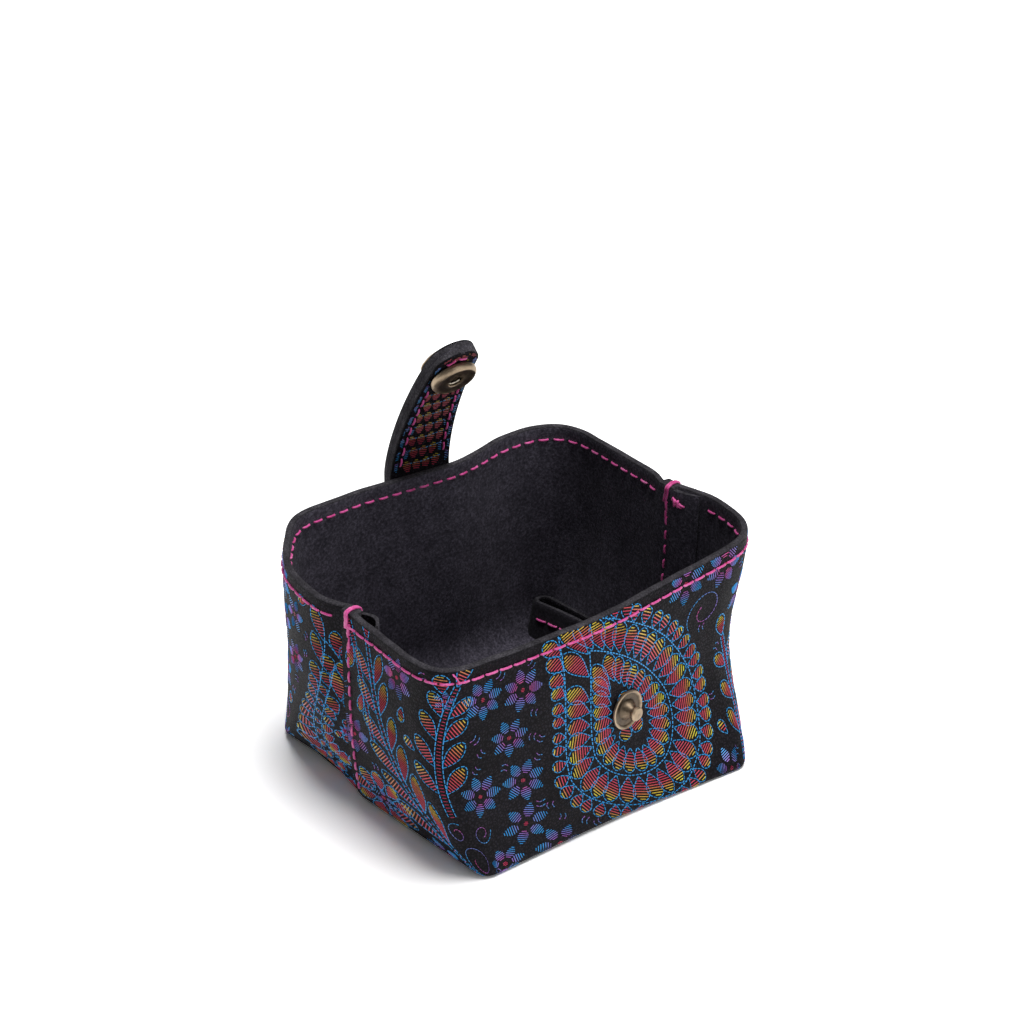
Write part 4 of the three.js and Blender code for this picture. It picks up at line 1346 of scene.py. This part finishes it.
def back_layout():
    """The back half, from the right seam round the back to the left seam."""
    draw = Layout(run_at("right_under") + 0.5, RUN_ROUND - 0.4)
    right, left = run_at("back_right"), run_at("left_back")
    middle = (right + left) / 2
    boteh(draw, (middle - 18, -4), math.radians(82), 86, math.radians(-52), 29)
    boteh(draw, (left + 20, -2), math.radians(76), 66, math.radians(54), 17)
    leaf_spray(draw, (right + 10, -1), math.radians(72), 62, math.radians(24), 5, (13.5, 4.6))
    leaf_spray(draw, (right - 10, 60), math.radians(-104), 48, math.radians(30), 4, (9.5, 3.8))
    leaf_spray(draw, (left - 18, 0), math.radians(98), 58, math.radians(-22), 5, (10.5, 3.9))
    rosette(draw, (middle + 26, 40), 9.5, 9, 0.6)
    scatter(draw)
    return draw


def tab_layout(half_width, low, high):
    """The tab's faces: rows of drops that fan out from its middle, with dotted lines between the rows."""
    draw = Layout(-half_width, half_width, low, high)
    for row, z in enumerate(np.arange(low + 1, high - 2, 4.6)):
        for k in np.arange(-3, 4) if row % 2 else np.arange(-3.5, 4):
            petal(draw, (k * 2.5, z + 0.3 * abs(k)), math.radians(90 - 8 * k), 4.7, 2.4,
                  COOL if abs(k) > 1.8 else WARM, (0.05 * (row % 3), 0.82), lined=False, pitch=0.7)
        draw.dashes([(-half_width, z - 0.2), (0, z - 1.0), (half_width, z - 0.2)], (0.0, 0.1),
                    dash=0.7, gap=0.4, breadth=0.5)
    return draw


def print_piece(name, draw, place_on, keep=None, foils=FOILS):
    """Turns a layout into low ridges of foil on a surface. Each stroke is closed and sunk a little."""
    flat, rise, faces, kinds, tones = [], [], [], [], []
    for points, breadth, ink, tone in draw.strokes:
        if keep is not None:
            points = cut_off(points, lambda point: keep(point, breadth / 2))
        if points is None:
            continue
        first = len(flat)
        along = unit(np.gradient(points, axis=0))
        across = np.column_stack([-along[:, 1], along[:, 0]]) * breadth / 2
        last = len(points) - 1
        for i, point in enumerate(points):
            flat += [point + across[i], point, point - across[i]]
            rise += [-FOIL_RISE, FOIL_RISE, -FOIL_RISE]
            share = i / last
            tones += [tone[0] * (1 - share) + tone[1] * share] * 3
        for i in range(last):
            a = first + 3 * i
            faces += [(a, a + 1, a + 4, a + 3), (a + 1, a + 2, a + 5, a + 4), (a, a + 3, a + 5, a + 2)]
            kinds += [ink] * 3
        end = first + 3 * last
        faces += [(first, first + 2, first + 1), (end, end + 1, end + 2)]
        kinds += [ink] * 2
    flat = np.array(flat)
    points, normals = place_on(flat[:, 0], flat[:, 1])
    points = points + normals * np.array(rise)[:, None]
    faces = [face[::-1] for face in faces]
    piece = make_piece(name, points, faces, foils, kinds, crisp=80)
    values = piece.data.attributes.new("tone", "FLOAT", "POINT")
    values.data.foreach_set("value", np.clip(np.array(tones, dtype=np.float32), 0, 1))
    return piece


def on_tab(back):
    """Gives the function that lays a print on the tab's front or on its back."""
    offset = TAB_THICKNESS if back else 0.0

    def place(across, length):
        points = np.array([tab_point(up) + TAB_ACROSS * aside + tab_behind(up) * offset
                           for aside, up in zip(across, length)])
        return points, np.array([tab_behind(up) * (1 if back else -1) for up in length])
    return place


def tab_keeps(point, margin):
    """Whether a stroke lies on the tab, clear of its edge, its stitches, its socket and its cap."""
    across, length = point
    if abs(tab_half(length) - TAB_STITCH_INSET - abs(across)) < 0.45 + margin / 2:
        return False
    if abs(across) > tab_half(length) - 0.25 - margin:
        return False
    return math.hypot(across, length - SOCKET_AT) > SOCKET_RADIUS - 0.4


def above_rim(point, margin):
    """Whether a stroke lies on the front of the tab where it stands clear above the rim."""
    return point[1] > 0.5 and tab_keeps(point, margin)


# Building

body = body_panel()
MIDDLE_ROW = 20
across_front = slice(PLACE_OF["front_left"], PLACE_OF["front_right"])
stud_run = np.interp(STUD_X, OUTER_FACE[MIDDLE_ROW][across_front, 0], RUN[across_front])
stud_point, stud_normal = on_wall([stud_run], [STUD_Z])
punch(body, stud_point[0], stud_normal[0], STUD_HOLE)
for side in ("left", "right"):
    seam_flap(side)
    seam_stitching(side)
    thread_piece(f"rim_loop_{side}", rim_loop(side), THREAD_RADIUS * 1.1)
for side in ("left", "right"):
    boxed_stub(side)
    stub_stitching(side)
tab_layer("tab_front_layer", True, (LEATHER_FINISH, SUEDE_FINISH), "tab_inner_layer")
tab_layer("tab_back_layer", False, (SUEDE_FINISH, LEATHER_FINISH), "tab_outer_layer")
seam_knot("right")
thread_tail()
rim_stitching()
tab_stitching()
tab_root_stitching()

print_piece("front_half_print", front_layout(), on_wall)
print_piece("back_half_print", back_layout(), on_wall)
tab_print = tab_layout(TAB_ROOT_WIDTH / 2, -TAB_ROOT + 1, TAB_LENGTH - 1)
print_piece("tab_front_print", tab_print, on_tab(False), above_rim, TAB_FOILS_PAINTED_SHADE)
print_piece("tab_back_print", tab_print, on_tab(True), tab_keeps, TAB_FOILS_PAINTED_SHADE)


def turned_smooth():
    """A modifier's nodes that shade round surfaces smooth and keep their edges crisp."""
    tree = bpy.data.node_groups.new("turned_metal_shading", "GeometryNodeTree")
    tree.interface.new_socket("Geometry", in_out="INPUT", socket_type="NodeSocketGeometry")
    tree.interface.new_socket("Geometry", in_out="OUTPUT", socket_type="NodeSocketGeometry")
    start = add(tree, "NodeGroupInput")
    merged = add(tree, "GeometryNodeMergeByDistance", {"Geometry": start.outputs[0], "Distance": 1e-6})
    smooth = add(tree, "GeometryNodeSetShadeSmooth", {0: merged.outputs[0]}, domain="FACE")
    angle = add(tree, "GeometryNodeInputMeshEdgeAngle")
    sharp = add(tree, "FunctionNodeCompare", {0: angle.outputs[0], 1: math.radians(34)}, data_type="FLOAT",
                operation="GREATER_THAN")
    crisp = add(tree, "GeometryNodeSetShadeSmooth", {0: smooth.outputs[0], 1: sharp.outputs[0]},
                domain="EDGE")
    crisp.inputs[2].default_value = False
    add(tree, "NodeGroupOutput", {0: crisp.outputs[0]})
    return tree


shading = turned_smooth()
finishes = {"snap_cap": BRASS_FINISH, "snap_socket": BRASS_FINISH, "snap_stud": BRASS_FINISH,
            "stud_eyelet": BRASS_FINISH, "socket_spring": SPRING_FINISH}
for name, finish in finishes.items():
    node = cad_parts[name]
    node.material_slots[0].material = finish
    node.modifiers.new("shading", "NODES").node_group = shading


# Studio

def studio_floor():
    """Painted white board, matt, that the object stands on. The camera sees it a little brighter."""
    material, tree, place = bare_material("white_painted_board")
    grain = add(tree, "ShaderNodeTexNoise", {"Vector": place, "Scale": per_metre(40), "Detail": 2.0})
    shade = add(tree, "ShaderNodeValToRGB", {"Fac": grain.outputs["Fac"]},
                stops=[(0.3, "#f6f6f6"), (0.7, "#f9f9f9")])
    seen = add(tree, "ShaderNodeLightPath")
    direct = add(tree, "ShaderNodeMath", {0: seen.outputs["Is Camera Ray"], 1: seen.outputs["Is Glossy Ray"]},
                 operation="MAXIMUM")
    lift = add(tree, "ShaderNodeMapRange", {"Value": direct.outputs[0], "To Min": 1.0, "To Max": 1.75})
    lifted = add(tree, "ShaderNodeVectorMath", {0: shade.outputs["Color"], "Scale": lift.outputs[0]},
                 operation="SCALE")
    matt = add(tree, "ShaderNodeBsdfDiffuse", {"Color": lifted.outputs[0]})
    add(tree, "ShaderNodeOutputMaterial", {"Surface": matt.outputs[0]})
    mesh = bpy.data.meshes.new("floor")
    half = 4.0
    corners = [(-half, -half, 0), (half, -half, 0), (half, half, 0), (-half, half, 0)]
    mesh.from_pydata(corners, [], [(0, 1, 2, 3)])
    mesh.materials.append(material)
    floor = bpy.data.objects.new("floor", mesh)
    bpy.context.collection.objects.link(floor)


def studio_light():
    """White surroundings, a broad lamp above and a low one in front, both a little to the right."""
    world = bpy.data.worlds.new("white_studio")
    world.use_nodes = True
    tree = world.node_tree
    tree.nodes.clear()
    seen = add(tree, "ShaderNodeLightPath")
    view = add(tree, "ShaderNodeMath",
               {0: seen.outputs["Is Camera Ray"], 1: seen.outputs["Is Transmission Ray"]},
               operation="MAXIMUM")
    strength = add(tree, "ShaderNodeMapRange", {"Value": view.outputs[0], "To Min": 0.14, "To Max": 1.0})
    sky = add(tree, "ShaderNodeBackground", {"Color": (1, 1, 1, 1), "Strength": strength.outputs[0]})
    add(tree, "ShaderNodeOutputWorld", {"Surface": sky.outputs[0]})
    bpy.context.scene.world = world
    # Each lamp's strength, how broad it is in degrees, and where it stands
    lamps = {"overhead_lamp": (2.45, 34, (0.08, -0.08, 1.0)), "front_lamp": (0.75, 50, (0.2, -1.0, 0.36))}
    for name, (energy, angle, place) in lamps.items():
        lamp = bpy.data.lights.new(name, "SUN")
        lamp.energy = energy
        lamp.angle = math.radians(angle)
        light = bpy.data.objects.new(name, lamp)
        bpy.context.collection.objects.link(light)
        light.rotation_mode = "QUATERNION"
        light.rotation_quaternion = Vector(place).to_track_quat("Z", "Y")


def photo_camera():
    """The photograph's view: from the front left and above, with a long lens."""
    azimuth, elevation = math.radians(-37.698), math.radians(28.666)
    back = Vector((math.sin(azimuth) * math.cos(elevation), -math.cos(azimuth) * math.cos(elevation),
                   math.sin(elevation)))
    right = Vector((math.cos(azimuth), math.sin(azimuth), 0))
    up = back.cross(right)
    lens = bpy.data.cameras.new("camera")
    lens.lens = 159.05
    lens.sensor_width = 36
    lens.clip_start, lens.clip_end = 0.05, 30
    camera = bpy.data.objects.new("camera", lens)
    bpy.context.collection.objects.link(camera)
    turn = Matrix((right, up, back)).transposed().to_4x4()
    # How far the camera is from the middle of the base along its own axes
    aside, above, away = -0.236, 62.30, 1200
    place = right * aside + up * above + back * away
    camera.matrix_world = Matrix.Translation(place * METRES) @ turn
    bpy.context.scene.camera = camera


studio_floor()
studio_light()
photo_camera()
bpy.context.scene.view_settings.view_transform = "Standard"
